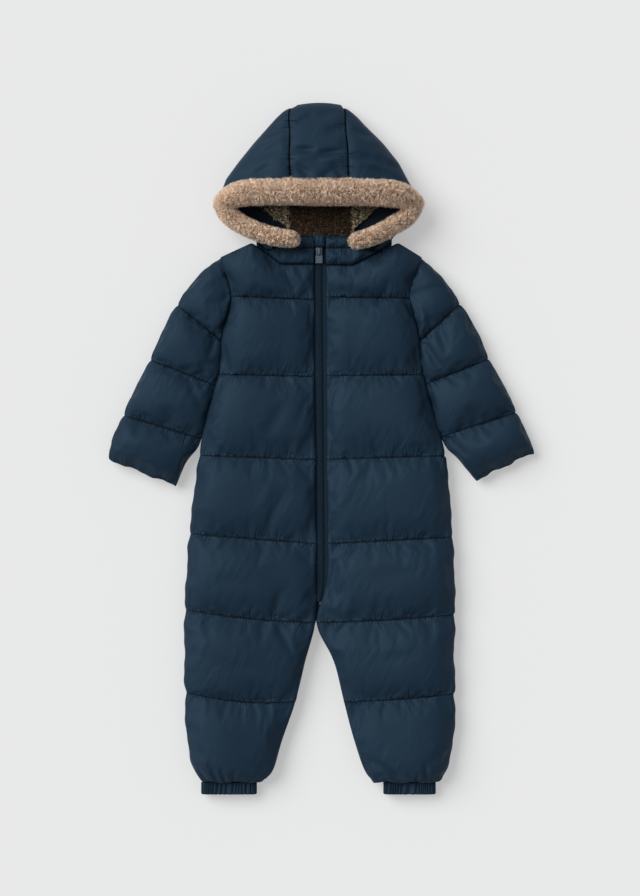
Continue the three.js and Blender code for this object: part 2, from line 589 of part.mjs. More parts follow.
// Everything above a side profile of the face opening.
function aboveProfile(profile) {
  const shape = new THREE.Shape();
  shape.moveTo(profile[0].y, ROOM.z);
  profile.forEach((p) => shape.lineTo(p.y, p.z));
  shape.lineTo(profile.at(-1).y, ROOM.z);
  const geometry = new THREE.ExtrudeGeometry(shape, { depth: 2 * ROOM.x, bevelEnabled: false });
  geometry.rotateY(Math.PI / 2);
  geometry.rotateX(Math.PI / 2);
  geometry.translate(-ROOM.x, 0, 0);
  return solidOf(geometry);
}

// The hood's middle panel as a column through the bag, grown by a gap on each side.
function crownColumn(gap) {
  const shape = new THREE.Shape();
  CROWN_PANEL.forEach((p, i) => (i ? shape.lineTo(p.right - gap, p.y) : shape.moveTo(p.right - gap, p.y)));
  [...CROWN_PANEL].reverse().forEach((p) => shape.lineTo(p.left + gap, p.y));
  const geometry = new THREE.ExtrudeGeometry(shape, { depth: 2 * ROOM.z, bevelEnabled: false });
  geometry.translate(0, 0, -ROOM.z);
  return solidOf(geometry);
}

// A roll of fur along a centre line, rounded at both ends and grown by a clearance.
function furRoll(rows, grow) {
  const line = new THREE.CatmullRomCurve3(rows.map((r) => new THREE.Vector3(r.x, r.y, r.z)));
  const width = new THREE.CatmullRomCurve3(rows.map((r) => new THREE.Vector3(r.radius, 0, 0)));
  const steps = 3 * (rows.length - 1);
  const rings = [];
  for (let k = -2; k <= steps + 2; k++) {
    const share = THREE.MathUtils.clamp(k / steps, 0, 1);
    const beyond = Math.max(-k, k - steps, 0) / 2;
    const radius = (width.getPoint(share).x + grow) * Math.sqrt(1 - (beyond * 0.9) ** 2);
    const tangent = line.getTangent(share);
    const centre = line.getPoint(share).addScaledVector(tangent, Math.sign(k - steps / 2) * beyond * 8);
    const across = new THREE.Vector3(-tangent.y, tangent.x, 0).normalize();
    const up = new THREE.Vector3().crossVectors(tangent, across).normalize();
    rings.push(
      Array.from({ length: FUR_POINTS }, (_, i) => {
        const turn = (2 * Math.PI * i) / FUR_POINTS;
        return centre
          .clone()
          .addScaledVector(across, radius * Math.cos(turn))
          .addScaledVector(up, radius * Math.sin(turn));
      }),
    );
  }
  return loft(rings);
}

function furTrim(grow) {
  return furRoll(FUR_BRIM, grow).add(furRoll(FUR_ARMS.right, grow)).add(furRoll(FUR_ARMS.left, grow));
}

// The hood's padded shell, its pile lining, and their cut into a middle panel and two sides.
function hoodPieces() {
  const room = furTrim(SEAM_GAP);
  const shell = hoodBag(0)
    .subtract(hoodBag(SHELL_THICKNESS, 8))
    .subtract(aboveProfile(RIM_PROFILE))
    .subtract(room);
  const lining = hoodBag(SHELL_THICKNESS + SEAM_GAP)
    .subtract(hoodBag(SHELL_THICKNESS + LINING_THICKNESS, 8))
    .subtract(aboveProfile(LINING_PROFILE))
    .subtract(box(-ROOM.x, 0, -ROOM.z, ROOM.x, LINING_NECK_Y, ROOM.z))
    .subtract(room);
  const middle = crownColumn(-SEAM_GAP / 2);
  const notMiddle = crownColumn(SEAM_GAP / 2);
  const rightSide = box(-ROOM.x, 0, -ROOM.z, 0, ROOM.y, ROOM.z);
  const leftSide = box(0, 0, -ROOM.z, ROOM.x, ROOM.y, ROOM.z);
  return {
    hood_centre: shell.intersect(middle),
    hood_side_right: shell.subtract(notMiddle).intersect(rightSide),
    hood_side_left: shell.subtract(notMiddle).intersect(leftSide),
    lining_centre: lining.intersect(middle),
    lining_side_right: lining.subtract(notMiddle).intersect(rightSide),
    lining_side_left: lining.subtract(notMiddle).intersect(leftSide),
  };
}

// Half of the collar: from the front's neckline up to the fur, lying on the back of the neck.
function collar(half) {
  const front = half.stations.at(-1);
  const neck = { y: front.innerY, flatTo: half.neckline.flatTo };
  const stitch = (COLLAR.stitchY - neck.y) / (COLLAR.topY - neck.y);
  const upward = [0, 0.08, 0.28, 0.46, stitch, 0.68, 0.84, 1];
  const columns = columnShares(FRONT_COLUMNS)
    .map((share) => THREE.MathUtils.lerp(front.innerX, front.outerX, share))
    .filter((x) => x < half.collarTo);
  const rows = upward.map((up) =>
    columns.map((x) => {
      const across = (x - front.innerX) / (half.collarTo - front.innerX);
      const bottom = topEdge(half, x, neck) + SEAM_GAP;
      const y = THREE.MathUtils.lerp(bottom, COLLAR.topY + 2 * across, up);
      const share = up < stitch ? up / stitch : (up - stitch) / (1 - stitch);
      const stitched = up === 0 || up === 1 ? COLLAR.edge : COLLAR.stitched;
      const crest = stitched + (COLLAR.crest - stitched) * puff(share);
      const rise = roll(across * 60 + 8, 20);
      return new THREE.Vector3(half.side * x, y, COLLAR.inside + COLLAR.edge + (crest - COLLAR.edge) * rise);
    }),
  );
  return wallOnPlane(rows, COLLAR.inside);
}

// A gathered elastic band round the end of a leg.
function ankleBand({ x, halfWidth }) {
  const radius = BAND.height / 2;
  const ring = (y, inset, wave) =>
    Array.from({ length: BAND.gathers * 2 }, (_, i) => {
      const turn = (Math.PI * i) / BAND.gathers;
      const ripple = Math.sin(turn) > -0.55 ? wave * (i % 2 ? -1 : 1) : 0;
      const across = Math.sign(Math.cos(turn)) * Math.abs(Math.cos(turn)) ** 0.7;
      const up = Math.sign(Math.sin(turn)) * Math.abs(Math.sin(turn)) ** 0.7;
      const z = radius + (up < 0 ? radius : radius - inset + ripple) * up;
      return new THREE.Vector3(x + (halfWidth - inset + ripple) * across, y, z);
    });
  const hollow = (y) =>
    Array.from({ length: 16 }, (_, i) => {
      const turn = (2 * Math.PI * i) / 16;
      const across = Math.sign(Math.cos(turn)) * Math.abs(Math.cos(turn)) ** 0.7;
      const up = Math.sign(Math.sin(turn)) * Math.abs(Math.sin(turn)) ** 0.7;
      return new THREE.Vector3(x + (halfWidth - BAND.wall) * across, y, radius + (radius - BAND.wall) * up);
    });
  const middle = (BAND.topY + BAND.bottomY) / 2;
  const outside = loft([
    ring(BAND.bottomY, 1.4, BAND.wave * 0.6),
    ring(BAND.bottomY + 2, 0.3, BAND.wave),
    ring(middle, 0.9, BAND.wave),
    ring(BAND.topY - 2, 0.3, BAND.wave),
    ring(BAND.topY, 1.4, BAND.wave * 0.6),
  ]);
  return outside.subtract(loft([hollow(BAND.bottomY - 2), hollow(BAND.topY + 2)]));
}

// A front's zip edge, section by section from the crotch up, and where it is at a height y.
function zipEdge(half) {
  const inner = endCurves(half.stations).inner;
  const last = half.stations.length - 1;
  const crotch = half.stations.findIndex((s) => s.at === "crotch");
  return sectionPlaces(half.stations, FRONT_ROWS)
    .filter((place) => place.at >= crotch)
    .map((place) => inner.getPoint(place.at / last));
}

function edgeAt(edge, y) {
  const next = edge.findIndex((p) => p.y > y);
  if (next < 0) return edge.at(-1).x;
  const [a, b] = [edge[next - 1], edge[next]];
  return THREE.MathUtils.lerp(a.x, b.x, (y - a.y) / (b.y - a.y));
}

// The closed zip: a woven tape between the fronts with its chain of teeth as one ridge.
function zipTape() {
  const right = zipEdge(HALVES.right);
  const left = zipEdge(HALVES.left);
  const heights = [...right, ...left].map((p) => p.y).filter((y) => y > ZIP.bottomY + 1 && y < 225);
  const spread = heights.sort((a, b) => a - b).filter((y, i, all) => i === 0 || y - all[i - 1] > 0.5);
  const rings = [ZIP.bottomY, ...spread, ZIP.topY].map((y) => {
    const rightEdge = SEAM_GAP - edgeAt(right, y);
    const leftEdge = edgeAt(left, y) - SEAM_GAP;
    const middle = (rightEdge + leftEdge) / 2;
    const chain = Math.min(ZIP.chainHalfWidth, (leftEdge - rightEdge) / 3);
    return [
      [rightEdge, ZIP.tapeBottom],
      [leftEdge, ZIP.tapeBottom],
      [leftEdge, ZIP.tapeTop],
      [middle + chain, ZIP.tapeTop],
      [middle + chain * 0.7, ZIP.chainTop],
      [middle - chain * 0.7, ZIP.chainTop],
      [middle - chain, ZIP.tapeTop],
      [rightEdge, ZIP.tapeTop],
    ].map(([x, z]) => new THREE.Vector3(x, y, z));
  });
  return loft(rings);
}

// A block with its corners cut off seen from above.
function tab(lowX, lowY, lowZ, highX, highY, highZ, corner) {
  const shape = new THREE.Shape();
  shape.moveTo(lowX + corner, lowY);
  shape.lineTo(highX - corner, lowY);
  shape.lineTo(highX, lowY + corner);
  shape.lineTo(highX, highY - corner);
  shape.lineTo(highX - corner, highY);
  shape.lineTo(lowX + corner, highY);
  shape.lineTo(lowX, highY - corner);
  shape.lineTo(lowX, lowY + corner);
  const geometry = new THREE.ExtrudeGeometry(shape, { depth: highZ - lowZ, bevelEnabled: false });
  geometry.translate(0, 0, lowZ);
  return solidOf(geometry);
}

// The slider's upper plate with the bridge that the pull hangs from.
function zipSlider() {
  const { x, width, bottomY, topY, plateTop } = SLIDER;
  const low = ZIP.chainTop + SEAM_GAP;
  const half = BRIDGE.width / 2;
  const plate = tab(x - width / 2, bottomY, low, x + width / 2, topY, plateTop, 1.6);
  const upright = (low, high, bottom) => box(x - half, low, bottom, x + half, high, BRIDGE.top);
  const lowPost = upright(BRIDGE.bottomY, BRIDGE.bottomY + BRIDGE.post, plateTop - BRIDGE.root);
  const highPost = upright(BRIDGE.topY - BRIDGE.post, BRIDGE.topY, plateTop - BRIDGE.root);
  const bar = upright(BRIDGE.bottomY, BRIDGE.topY, BRIDGE.top - BRIDGE.bar);
  return plate.add(lowPost).add(highPost).add(bar);
}

// The pull: a rod through the bridge, two arms and a flat tab, made about its own pivot.
function zipPull() {
  const rod = new THREE.CylinderGeometry(PULL.rod, PULL.rod, 2 * PULL_ARM.outer, 12);
  rod.rotateZ(Math.PI / 2);
  const { inner, outer, end, overlap } = PULL_ARM;
  const thin = PULL_ARM.thickness / 2;
  const thick = PULL.thickness / 2;
  const half = PULL.width / 2;
  const rightArm = box(-outer, end, -thin, -inner, 0, thin);
  const leftArm = box(inner, end, -thin, outer, 0, thin);
  const plate = tab(-half, -PULL.length, -thick, half, end + overlap, thick, PULL.corner);
  return solidOf(rod).add(rightArm).add(leftArm).add(plate);
}

// The fold of cloth that covers the top of the zip, lying between the two halves of the collar.
function zipGarage() {
  const profile = [
    { share: 0, fill: 0.45 },
    { share: 0.08, fill: 0.75 },
    { share: 0.3, fill: 1 },
    { share: 0.7, fill: 1 },
    { share: 0.93, fill: 0.8 },
    { share: 1, fill: 0.5 },
  ];
  const middle = (GARAGE.right + GARAGE.left) / 2;
  const half = (GARAGE.left - GARAGE.right) / 2;
  const rings = profile.map(({ share, fill }) =>
    Array.from({ length: 16 }, (_, i) => {
      const turn = (2 * Math.PI * i) / 16;
      const up = Math.sin(turn) >= 0 ? Math.sin(turn) ** 0.8 : 0;
      return new THREE.Vector3(
        middle + half * (0.8 + 0.2 * fill) * Math.cos(turn),
        THREE.MathUtils.lerp(GARAGE.bottomY, GARAGE.topY, share),
        GARAGE.bottom + (Math.sin(turn) < 0 ? 0 : (GARAGE.top - GARAGE.bottom - 2) * fill * up + 2),
      );
    }),
  );
  return loft(rings);
}

const suit = new THREE.Group();

function addPiece(name, solid, material) {
  const mesh = new THREE.Mesh(geometryOf(solid), material);
  mesh.name = name;
  suit.add(mesh);
  return mesh;
}

const grownHood = hoodBag(-SEAM_GAP).subtract(hoodBag(SHELL_THICKNESS + LINING_THICKNESS + SEAM_GAP, 8));
const furRoom = furTrim(SEAM_GAP);
for (const name of ["right", "left"]) {
  const half = HALVES[name];
  addPiece(`back_${name}`, back(half), shellCloth);
  addPiece(`front_${name}`, front(half).subtract(furRoom), shellCloth);
  addPiece(`sleeve_${name}`, sleeve(half, SLEEVES[name]), shellCloth);
  addPiece(`collar_${name}`, collar(half).subtract(grownHood).subtract(furRoom), shellCloth);
  addPiece(`ankle_band_${name}`, ankleBand(BANDS[name]), shellCloth);
}
for (const [name, solid] of Object.entries(hoodPieces())) {
  addPiece(name, solid, name.startsWith("lining") ? pileCloth : shellCloth);
}
addPiece("fur_trim", furTrim(0), furCloth);
addPiece("zip_tape", zipTape(), zipCloth);
addPiece("zip_slider", zipSlider(), pullPlastic);
addPiece("zip_garage", zipGarage(), shellCloth);
const pull = addPiece("zip_pull", zipPull(), pullPlastic);
pull.position.set(SLIDER.x, PULL.pivotY, PULL.pivotZ);
pull.rotation.x = PULL_TILT;

export default suit;
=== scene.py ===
import math
from collections import namedtuple
from contextlib import contextmanager

import bmesh
import bpy
import numpy as np
from mathutils import Matrix, Vector, noise
from mathutils.kdtree import KDTree


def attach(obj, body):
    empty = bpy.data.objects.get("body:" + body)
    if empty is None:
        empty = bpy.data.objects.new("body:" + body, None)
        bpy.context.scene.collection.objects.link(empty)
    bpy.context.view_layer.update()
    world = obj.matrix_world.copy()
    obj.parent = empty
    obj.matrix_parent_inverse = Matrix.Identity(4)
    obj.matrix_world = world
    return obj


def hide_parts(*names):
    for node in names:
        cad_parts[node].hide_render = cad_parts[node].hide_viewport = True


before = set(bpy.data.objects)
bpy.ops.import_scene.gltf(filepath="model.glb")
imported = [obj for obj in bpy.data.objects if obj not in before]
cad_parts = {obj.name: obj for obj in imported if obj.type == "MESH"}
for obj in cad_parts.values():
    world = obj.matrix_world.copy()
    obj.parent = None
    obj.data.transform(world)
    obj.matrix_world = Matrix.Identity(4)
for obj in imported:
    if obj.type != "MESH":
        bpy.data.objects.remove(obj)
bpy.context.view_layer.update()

# The surface the suit is laid on: a pale acrylic table, lit a little from below so that shadows stay
# faint. The suit lies on its back and is seen from straight above, lit by one broad soft source far off
# at its right side, on the left in the picture, with the white room filling the shadows.
MM = 0.001
FLOOR_SIZE = 9.0
FLOOR_DROP = 0.6 * MM  # below the suit, so that no faces meet
FLOOR_GREY = "#b4b4b4"
FLOOR_GLOW = 0.36
ROOM_WHITE = "#f6f8fb"
ROOM_LIGHT = 0.4
SOFTBOX_ENERGY = 2.75
SOFTBOX_SPREAD = 46  # degrees across
SOFTBOX_FROM = (-0.85, 0.55, 1.0)
PICTURE_HEIGHT = 896 * 1.2 * MM  # the picture shows 1.2 mm a pixel
PICTURE_PLANE = 20 * MM  # the height at which it does
CAMERA_HEIGHT = 5.0
SENSOR = 36.0


def linear(hex_colour):
    """An sRGB hex colour as a linear RGBA."""
    parts = [int(hex_colour[i : i + 2], 16) / 255 for i in (1, 3, 5)]
    return (*[c / 12.92 if c <= 0.04045 else ((c + 0.055) / 1.055) ** 2.4 for c in parts], 1.0)


def add_node(tree, kind, settings=None, links=None):
    """Adds a node. Settings name its properties or sockets, and links its sockets' sources."""
    node = tree.nodes.new(kind)
    for key, value in (settings or {}).items():
        if key in node.inputs:
            node.inputs[key].default_value = value
        else:
            setattr(node, key, value)
    for key, source in (links or {}).items():
        tree.links.new(source, node.inputs[key])
    return node


def new_material(name):
    """An empty node material with its output, as (material, tree, output)."""
    material = bpy.data.materials.new(name)
    material.use_nodes = True
    tree = material.node_tree
    tree.nodes.clear()
    return material, tree, tree.nodes.new("ShaderNodeOutputMaterial")


def principled(tree, output, settings, links=None):
    """Adds the shader and links it to the material's output."""
    shader = add_node(tree, "ShaderNodeBsdfPrincipled", settings, links)
    tree.links.new(shader.outputs[0], output.inputs["Surface"])


def placed(name, data):
    """A new object with this data, linked into the scene."""
    made = bpy.data.objects.new(name, data)
    bpy.context.collection.objects.link(made)
    return made


def select_only(*objects):
    bpy.ops.object.select_all(action="DESELECT")
    for one in objects:
        one.select_set(True)
    bpy.context.view_layer.objects.active = objects[-1] if objects else None


select_only()
bpy.ops.mesh.primitive_plane_add(size=FLOOR_SIZE, location=(0, 0, -FLOOR_DROP))
floor = bpy.context.object
floor.name = "studio_floor"
acrylic, tree, output = new_material("lit_acrylic_table")
glow = {"Emission Color": linear("#ffffff"), "Emission Strength": FLOOR_GLOW}
matt = {"Base Color": linear(FLOOR_GREY), "Roughness": 0.9, "Specular IOR Level": 0.1}
principled(tree, output, {**matt, **glow})
floor.data.materials.append(acrylic)

world = bpy.data.worlds.new("white_room")
bpy.context.scene.world = world
world.use_nodes = True
world.node_tree.nodes["Background"].inputs["Color"].default_value = linear(ROOM_WHITE)
world.node_tree.nodes["Background"].inputs["Strength"].default_value = ROOM_LIGHT

light = placed("softbox", bpy.data.lights.new("softbox", "SUN"))
light.data.energy = SOFTBOX_ENERGY
light.data.angle = math.radians(SOFTBOX_SPREAD)
light.rotation_euler = Vector(SOFTBOX_FROM).to_track_quat("Z", "Y").to_euler()

camera = placed("camera", bpy.data.cameras.new("camera"))
camera.location = (0, 0, CAMERA_HEIGHT)
camera.data.sensor_width = SENSOR
camera.data.lens = SENSOR * (CAMERA_HEIGHT - PICTURE_PLANE) / PICTURE_HEIGHT
camera.data.clip_end = 50
bpy.context.scene.camera = camera
bpy.context.scene.view_settings.view_transform = "Standard"

# The right and left front, each with its leg: one panel of nylon over wadding, quilted across in
# channels by a straight stitch. The stitching gathers the cloth, so short puckers run out from each
# line, and a few long soft folds cross the chest, the hips and the knees.
Station = namedtuple("Station", "inner_x inner_y outer_x outer_y sag quilted")
Half = namedtuple("Half", "side stations neck_flat_to neck_side back_neck_to")
HALVES = {
    "right": Half(
        -1,
        [
            Station(69.6, -400.5, 142.8, -400.2, 0, True),
            Station(57.6, -389, 152.6, -383, 1, False),
            Station(46.2, -352.8, 160, -345, 3, False),
            Station(29.4, -304.1, 163.2, -292.8, 5.6, True),
            Station(17.8, -256.5, 162.6, -243, 4, False),
            Station(5.6, -209.4, 163.4, -193.8, 3, True),
            Station(4.6, -162, 160, -150, 1.5, False),
            Station(4.9, -114.7, 157.8, -103.2, 0, True),
            Station(5.2, -64.2, 151.4, -56, 0, False),
            Station(5.5, -13.8, 146, -9.1, 0, True),
            Station(6.2, 36, 136, 39.5, 0, False),
            Station(7.2, 86, 122, 88.1, 0, True),
            Station(7.4, 138, 117.2, 139.2, 0, False),
            Station(7.4, 178, 109.6, 182, 0, True),
            Station(7.4, 220.2, 119.8, 228.6, 0, True),
        ],
        47,
        (81.6, 246),
        67,
    ),
    "left": Half(
        1,
        [
            Station(64.3, -400.5, 146.2, -400.2, 0, True),
            Station(55.2, -390, 152.6, -384, 1, False),
            Station(41.4, -352, 160.4, -349, 1, False),
            Station(28.8, -304.7, 163.2, -295, 1.2, True),
            Station(16.6, -256, 160.8, -248, 1, False),
            Station(-4.2, -209.4, 163, -200, 1.4, True),
            Station(8.2, -162, 161.4, -152.5, 0.5, False),
            Station(9.6, -114.7, 160.2, -107, 0, True),
            Station(9, -63, 155.6, -57, 0, False),
            Station(8.3, -13.4, 151.6, -9.6, 0, True),
            Station(8.3, 36, 137.2, 39.6, 0, False),
            Station(8.3, 87, 124.2, 87.6, 0, True),
            Station(7.8, 139, 118.4, 139.2, 0, False),
            Station(7.2, 181.2, 110.2, 179.4, 0, True),
            Station(7.2, 219.2, 122.4, 228.6, 0, True),
        ],
        39.2,
        (93.6, 246),
        78,
    ),
}
CROTCH = 5  # the station at the crotch
SEAM_GAP = 0.3
BACK_INSIDE = 15.7
FRONT_INSIDE = BACK_INSIDE + SEAM_GAP
FRONT_CREST = 20.5  # before the cloth swells
FRONT_STITCHED = 10
SEAM_THICKNESS = 3
ZIP_EDGE_THICKNESS = 8
SEAM_ROLL = 26
ZIP_SIDE_RISE = 0.56  # how full the cloth is beside the zip
FRONT_COLUMNS = 46
OUTLINE_NOTCH = 2.6
OUTLINE_WAVES = ((3.7, 1), (8.3, 0))  # wavelength over tau, and how a half's side shifts it
ANKLE_HANG = 1.6  # how far the leg's cloth bulges over its band
CLOTH_STEP = 3.4  # between the cloth's points
NEAR = 24  # how far puckers can run out from a line of stitching
GATHER_SPACING = 6
GATHER_HEIGHT = 2.6
Beside = namedtuple("Beside", "socket seed depth")
PUCKER_SIDES = [Beside("Y", 3.7, 1.0), Beside("Z", 11.3, 0.55)]  # above and below a line
# The darkest colour of each set is painted shade, laid along each line of stitching where the cloth sinks
# into a groove.
NYLON = {"face": "#1c2e3e", "shade": "#182836", "stitch_groove_shade": "#03070c", "sheen": "#5b7f9c"}
SATIN_GLEAM = "#b4d4ee"  # dyed filament tints what it reflects

# Soft troughs (positive) and ridges (negative): middle, direction from +X, length, half width, depth
Fold = namedtuple("Fold", "x y angle length width depth")
FOLDS = [
    Fold(-52, -186, 82, 38, 5, 3.2),
    Fold(-43, -227, -58, 44, 5, 4.2),
    Fold(-36, -236, -50, 36, 5, -2.0),
    Fold(-52, -72, 62, 58, 7, 3),
    Fold(-34, -112, 75, 34, 5, 2.6),
    Fold(-66, -60, 66, 50, 6, -1.6),
    Fold(-54, 34, 60, 56, 8, 2.8),
    Fold(-22, 44, 72, 60, 6, 2.6),
    Fold(-36, 201, -52, 40, 5, 3.4),
    Fold(-26, 203, -56, 34, 4, -1.4),
    Fold(15, -160, 84, 56, 5, 4),
    Fold(24, -156, 80, 50, 5, -1.8),
    Fold(36, -18, -70, 34, 4, 3),
    Fold(68, -4, -66, 32, 4, 3),
    Fold(76, 186, 60, 40, 6, 2.8),
    Fold(44, -322, -60, 30, 5, 2.6),
    Fold(-150, 62, -62, 40, 6, 4),
    Fold(-129, 122, 75, 34, 5, 3.6),
    Fold(148, 128, -76, 38, 5, 3.8),
    Fold(134, 112, -64, 36, 5, 3.8),
    Fold(96, -250, 12, 60, 7, 1.6),
    Fold(-96, -262, -8, 64, 7, 1.6),
    Fold(96, -150, 4, 70, 8, 1.4),
    Fold(-104, -160, -5, 60, 8, 1.4),
    Fold(-140, -392, -56, 24, 2.6, 3.2),
    Fold(-127, -388, -66, 36, 3, 4.2),
    Fold(-115, -394, -76, 26, 2.6, 3.8),
    Fold(-104, -394, 84, 24, 2.4, 3.2),
    Fold(-82, -395, 30, 26, 3, 3),
    Fold(-148, -370, -76, 42, 4, 2),
    Fold(82, -386, -35, 54, 4, 5),
    Fold(90, -382, -35, 44, 3.4, -2),
    Fold(127, -390, -87, 30, 3, 4.6),
    Fold(116, -396, 80, 18, 2.4, 3),
    Fold(70, -394, 20, 20, 2.4, 2.4),
]


def through(points, t):
    """A point of the centripetal Catmull-Rom curve through points, t from 0 to 1."""
    place = (len(points) - 1) * min(max(t, 0.0), 1.0)
    i = min(int(place), len(points) - 2)
    w = place - i
    p1, p2 = points[i], points[i + 1]
    p0 = points[i - 1] if i > 0 else 2 * p1 - p2
    p3 = points[i + 2] if i + 2 < len(points) else 2 * p2 - p1
    d0, d1, d2 = (math.sqrt(max(np.linalg.norm(b - a), 1e-8)) for a, b in ((p0, p1), (p1, p2), (p2, p3)))
    m1 = ((p1 - p0) / d0 - (p2 - p0) / (d0 + d1) + (p2 - p1) / d1) * d1
    m2 = ((p2 - p1) / d1 - (p3 - p1) / (d1 + d2) + (p3 - p2) / d2) * d1
    bend = -3 * p1 + 3 * p2 - 2 * m1 - m2
    twist = 2 * p1 - 2 * p2 + m1 + m2
    return p1 + m1 * w + bend * w**2 + twist * w**3


def knots(rows, *fields):
    """These fields of a table's rows, as points for a curve."""
    return [np.array([getattr(row, field) for field in fields], float) for row in rows]


def lerp(a, b, share):
    return a + (b - a) * share


def smoothstep(value, low, high):
    share = np.clip((value - low) / (high - low), 0, 1)
    return share * share * (3 - 2 * share)


def roll(distance, reach):
    """0 at an edge to 1 at a distance of reach, rising like the side of a roll."""
    left = 1 - min(max(distance / reach, 0), 1)
    return math.sqrt(1 - left * left)


def puff(share):
    """0 on a line of stitching to 1 at the middle of a channel."""
    return math.sin(math.pi * min(max(share, 0), 1)) ** 0.6


def fold_depth(folds, x, y):
    depth = 0.0
    for fold in folds:
        dx, dy = x - fold.x, y - fold.y
        if dx * dx + dy * dy > fold.length * fold.length:
            continue
        turn = math.radians(fold.angle)
        along = (dx * math.cos(turn) + dy * math.sin(turn)) / (fold.length / 2)
        across = (dy * math.cos(turn) - dx * math.sin(turn)) / fold.width
        if abs(along) < 1:
            depth += fold.depth * (1 - along * along) * math.exp(-across * across)
    return depth


def section_places(stations, step):
    """(place among the stations, share of the way across its channel) of each row of cloth points. The
    rows are closer together beside the stitching."""
    stitched = [i for i, s in enumerate(stations) if s.quilted]
    places = []
    for low, high in zip(stitched, stitched[1:]):
        a, b = stations[low], stations[high]
        rows = round(math.hypot(a.outer_x - b.outer_x, a.outer_y - b.outer_y) / step)
        for share in (lerp(r / rows, 0.5 - 0.5 * math.cos(math.pi * r / rows), 0.7) for r in range(rows)):
            places.append((lerp(low, high, share), share))
    return places + [(stitched[-1], 0.0)]


def top_edge(half, x, neck_y, flat_to):
    side_x, side_y = half.neck_side
    tip = half.stations[-1]
    if x <= flat_to:
        return neck_y
    if x <= side_x:
        return lerp(neck_y, side_y, (x - flat_to) / (side_x - flat_to))
    return lerp(side_y, tip.outer_y, (x - side_x) / (tip.outer_x - side_x))


def half_rows(half, columns, step, neck_y, flat_to, centre_seam=None):
    """Rows of (x, y, width of the row, across, share) for a body half, x from the centre front."""
    inner = knots(half.stations, "inner_x", "inner_y", "sag")
    outer = knots(half.stations, "outer_x", "outer_y")
    last = len(half.stations) - 1
    tip = half.stations[-1]
    rows = []
    for place, share in section_places(half.stations, step):
        a, b = through(inner, place / last), through(outer, place / last)
        notch = 0 if place > last - 4 else OUTLINE_NOTCH * (1 - puff(share)) ** 2
        if place < last - 5:
            notch += sum(0.5 * math.sin(b[1] / wave + shift * half.side) for wave, shift in OUTLINE_WAVES)
        start_x = a[0] if centre_seam is None else centre_seam(a[0], a[1])
        top_start = tip.inner_x if centre_seam is None else start_x
        row = []
        for i in range(columns + 1):
            across = i / columns
            x = start_x + across * (b[0] - notch - start_x)
            y = a[1] + across * (b[1] - a[1]) - a[2] * 4 * across * (1 - across)
            lift = top_edge(half, lerp(top_start, tip.outer_x, across), neck_y, flat_to)
            lift -= lerp(tip.inner_y, tip.outer_y, across)
            row.append((x, y + max(0, place - last + 1) * lift, b[0] - start_x, across, share, place))
        rows.append(row)
    return rows


def mesh_object(name, points, faces):
    mesh = bpy.data.meshes.new(name)
    mesh.from_pydata(points, [], faces)
    return placed(name, mesh)


def grid_mesh(name, rows, closed=False):
    """A mesh object through rows of points in metres. A closed one joins each row's ends."""
    count = len(rows[0])
    faces = []
    for j in range(len(rows) - 1):
        for i in range(count if closed else count - 1):
            k = (i + 1) % count
            faces.append((j * count + i, j * count + k, (j + 1) * count + k, (j + 1) * count + i))
    return mesh_object(name, [p for row in rows for p in row], faces)


def edge_and_stitched(points, stitched):
    """The numbers of a grid's points along its two sides and its lines of stitching."""
    count = len(points[0])
    sides = (0, count - 1)
    return [j * count + i for j in range(len(points)) for i in range(count) if j in stitched or i in sides]


# Light nylon over loose wadding, and what holds it where it is sewn
CLOTH = {
    "quality": 5,
    "mass": 0.15,
    "tension_stiffness": 15,
    "compression_stiffness": 15,
    "shear_stiffness": 5,
    "bending_stiffness": 0.06,
    "vertex_group_mass": "stitched",
    "use_pressure": True,
}
CLOTH_SLIDE = 2 * MM  # how far a point may slip along its sheet


def settle(sheets, growth, pressure, frames=26, rise=6.0, fall=3.0):
    """Lets grown cloth swell and pucker between its stitching. sheets is a list of (object, pinned
    points), and each point ends at most rise above or fall below where it starts, in mm."""
    start = []
    for sheet, pins in sheets:
        group = sheet.vertex_groups.new(name="stitched")
        group.add(pins, 1.0, "REPLACE")
        cloth = sheet.modifiers.new("cloth", "CLOTH")
        for key, value in CLOTH.items():
            setattr(cloth.settings, key, value)
        cloth.settings.uniform_pressure_force = pressure
        cloth.settings.shrink_min = -growth
        cloth.settings.effector_weights.gravity = 0
        cloth.collision_settings.use_collision = False
        cloth.collision_settings.use_self_collision = False
        start.append([v.co.copy() for v in sheet.data.vertices])
    for step in range(1, frames + 1):
        bpy.context.scene.frame_set(step)
    graph = bpy.context.evaluated_depsgraph_get()
    for (sheet, _), before in zip(sheets, start):
        after = [v.co.copy() for v in sheet.evaluated_get(graph).data.vertices]
        normals = [v.normal.copy() for v in sheet.data.vertices]
        sheet.modifiers.clear()
        for vertex, old, new, normal in zip(sheet.data.vertices, before, after, normals):
            move = new - old
            out = move.dot(normal)
            held = min(max(out, -fall * MM), rise * MM)
            slide = move - out * normal
            if slide.length > CLOTH_SLIDE:
                slide *= CLOTH_SLIDE / slide.length
            vertex.co = old + held * normal + slide
    bpy.context.scene.frame_set(1)


def crease_rows(sheet, columns, rows):
    """Keeps the stitched rows of a grid sharp when it is subdivided."""
    crease = sheet.data.attributes.new("crease_edge", "FLOAT", "EDGE")
    stitched = {j * columns + i for j in rows for i in range(columns)}
    for edge in sheet.data.edges:
        a, b = edge.vertices
        if a in stitched and b in stitched and abs(a - b) < columns:
            crease.data[edge.index].value = 1.0


def apply_modifier(piece, kind, **settings):
    modifier = piece.modifiers.new(kind.lower(), kind)
    for key, value in settings.items():
        setattr(modifier, key, value)
    select_only(piece)
    bpy.ops.object.modifier_apply(modifier=modifier.name)


def subdivide(piece, levels=1):
    apply_modifier(piece, "SUBSURF", levels=levels, render_levels=levels)


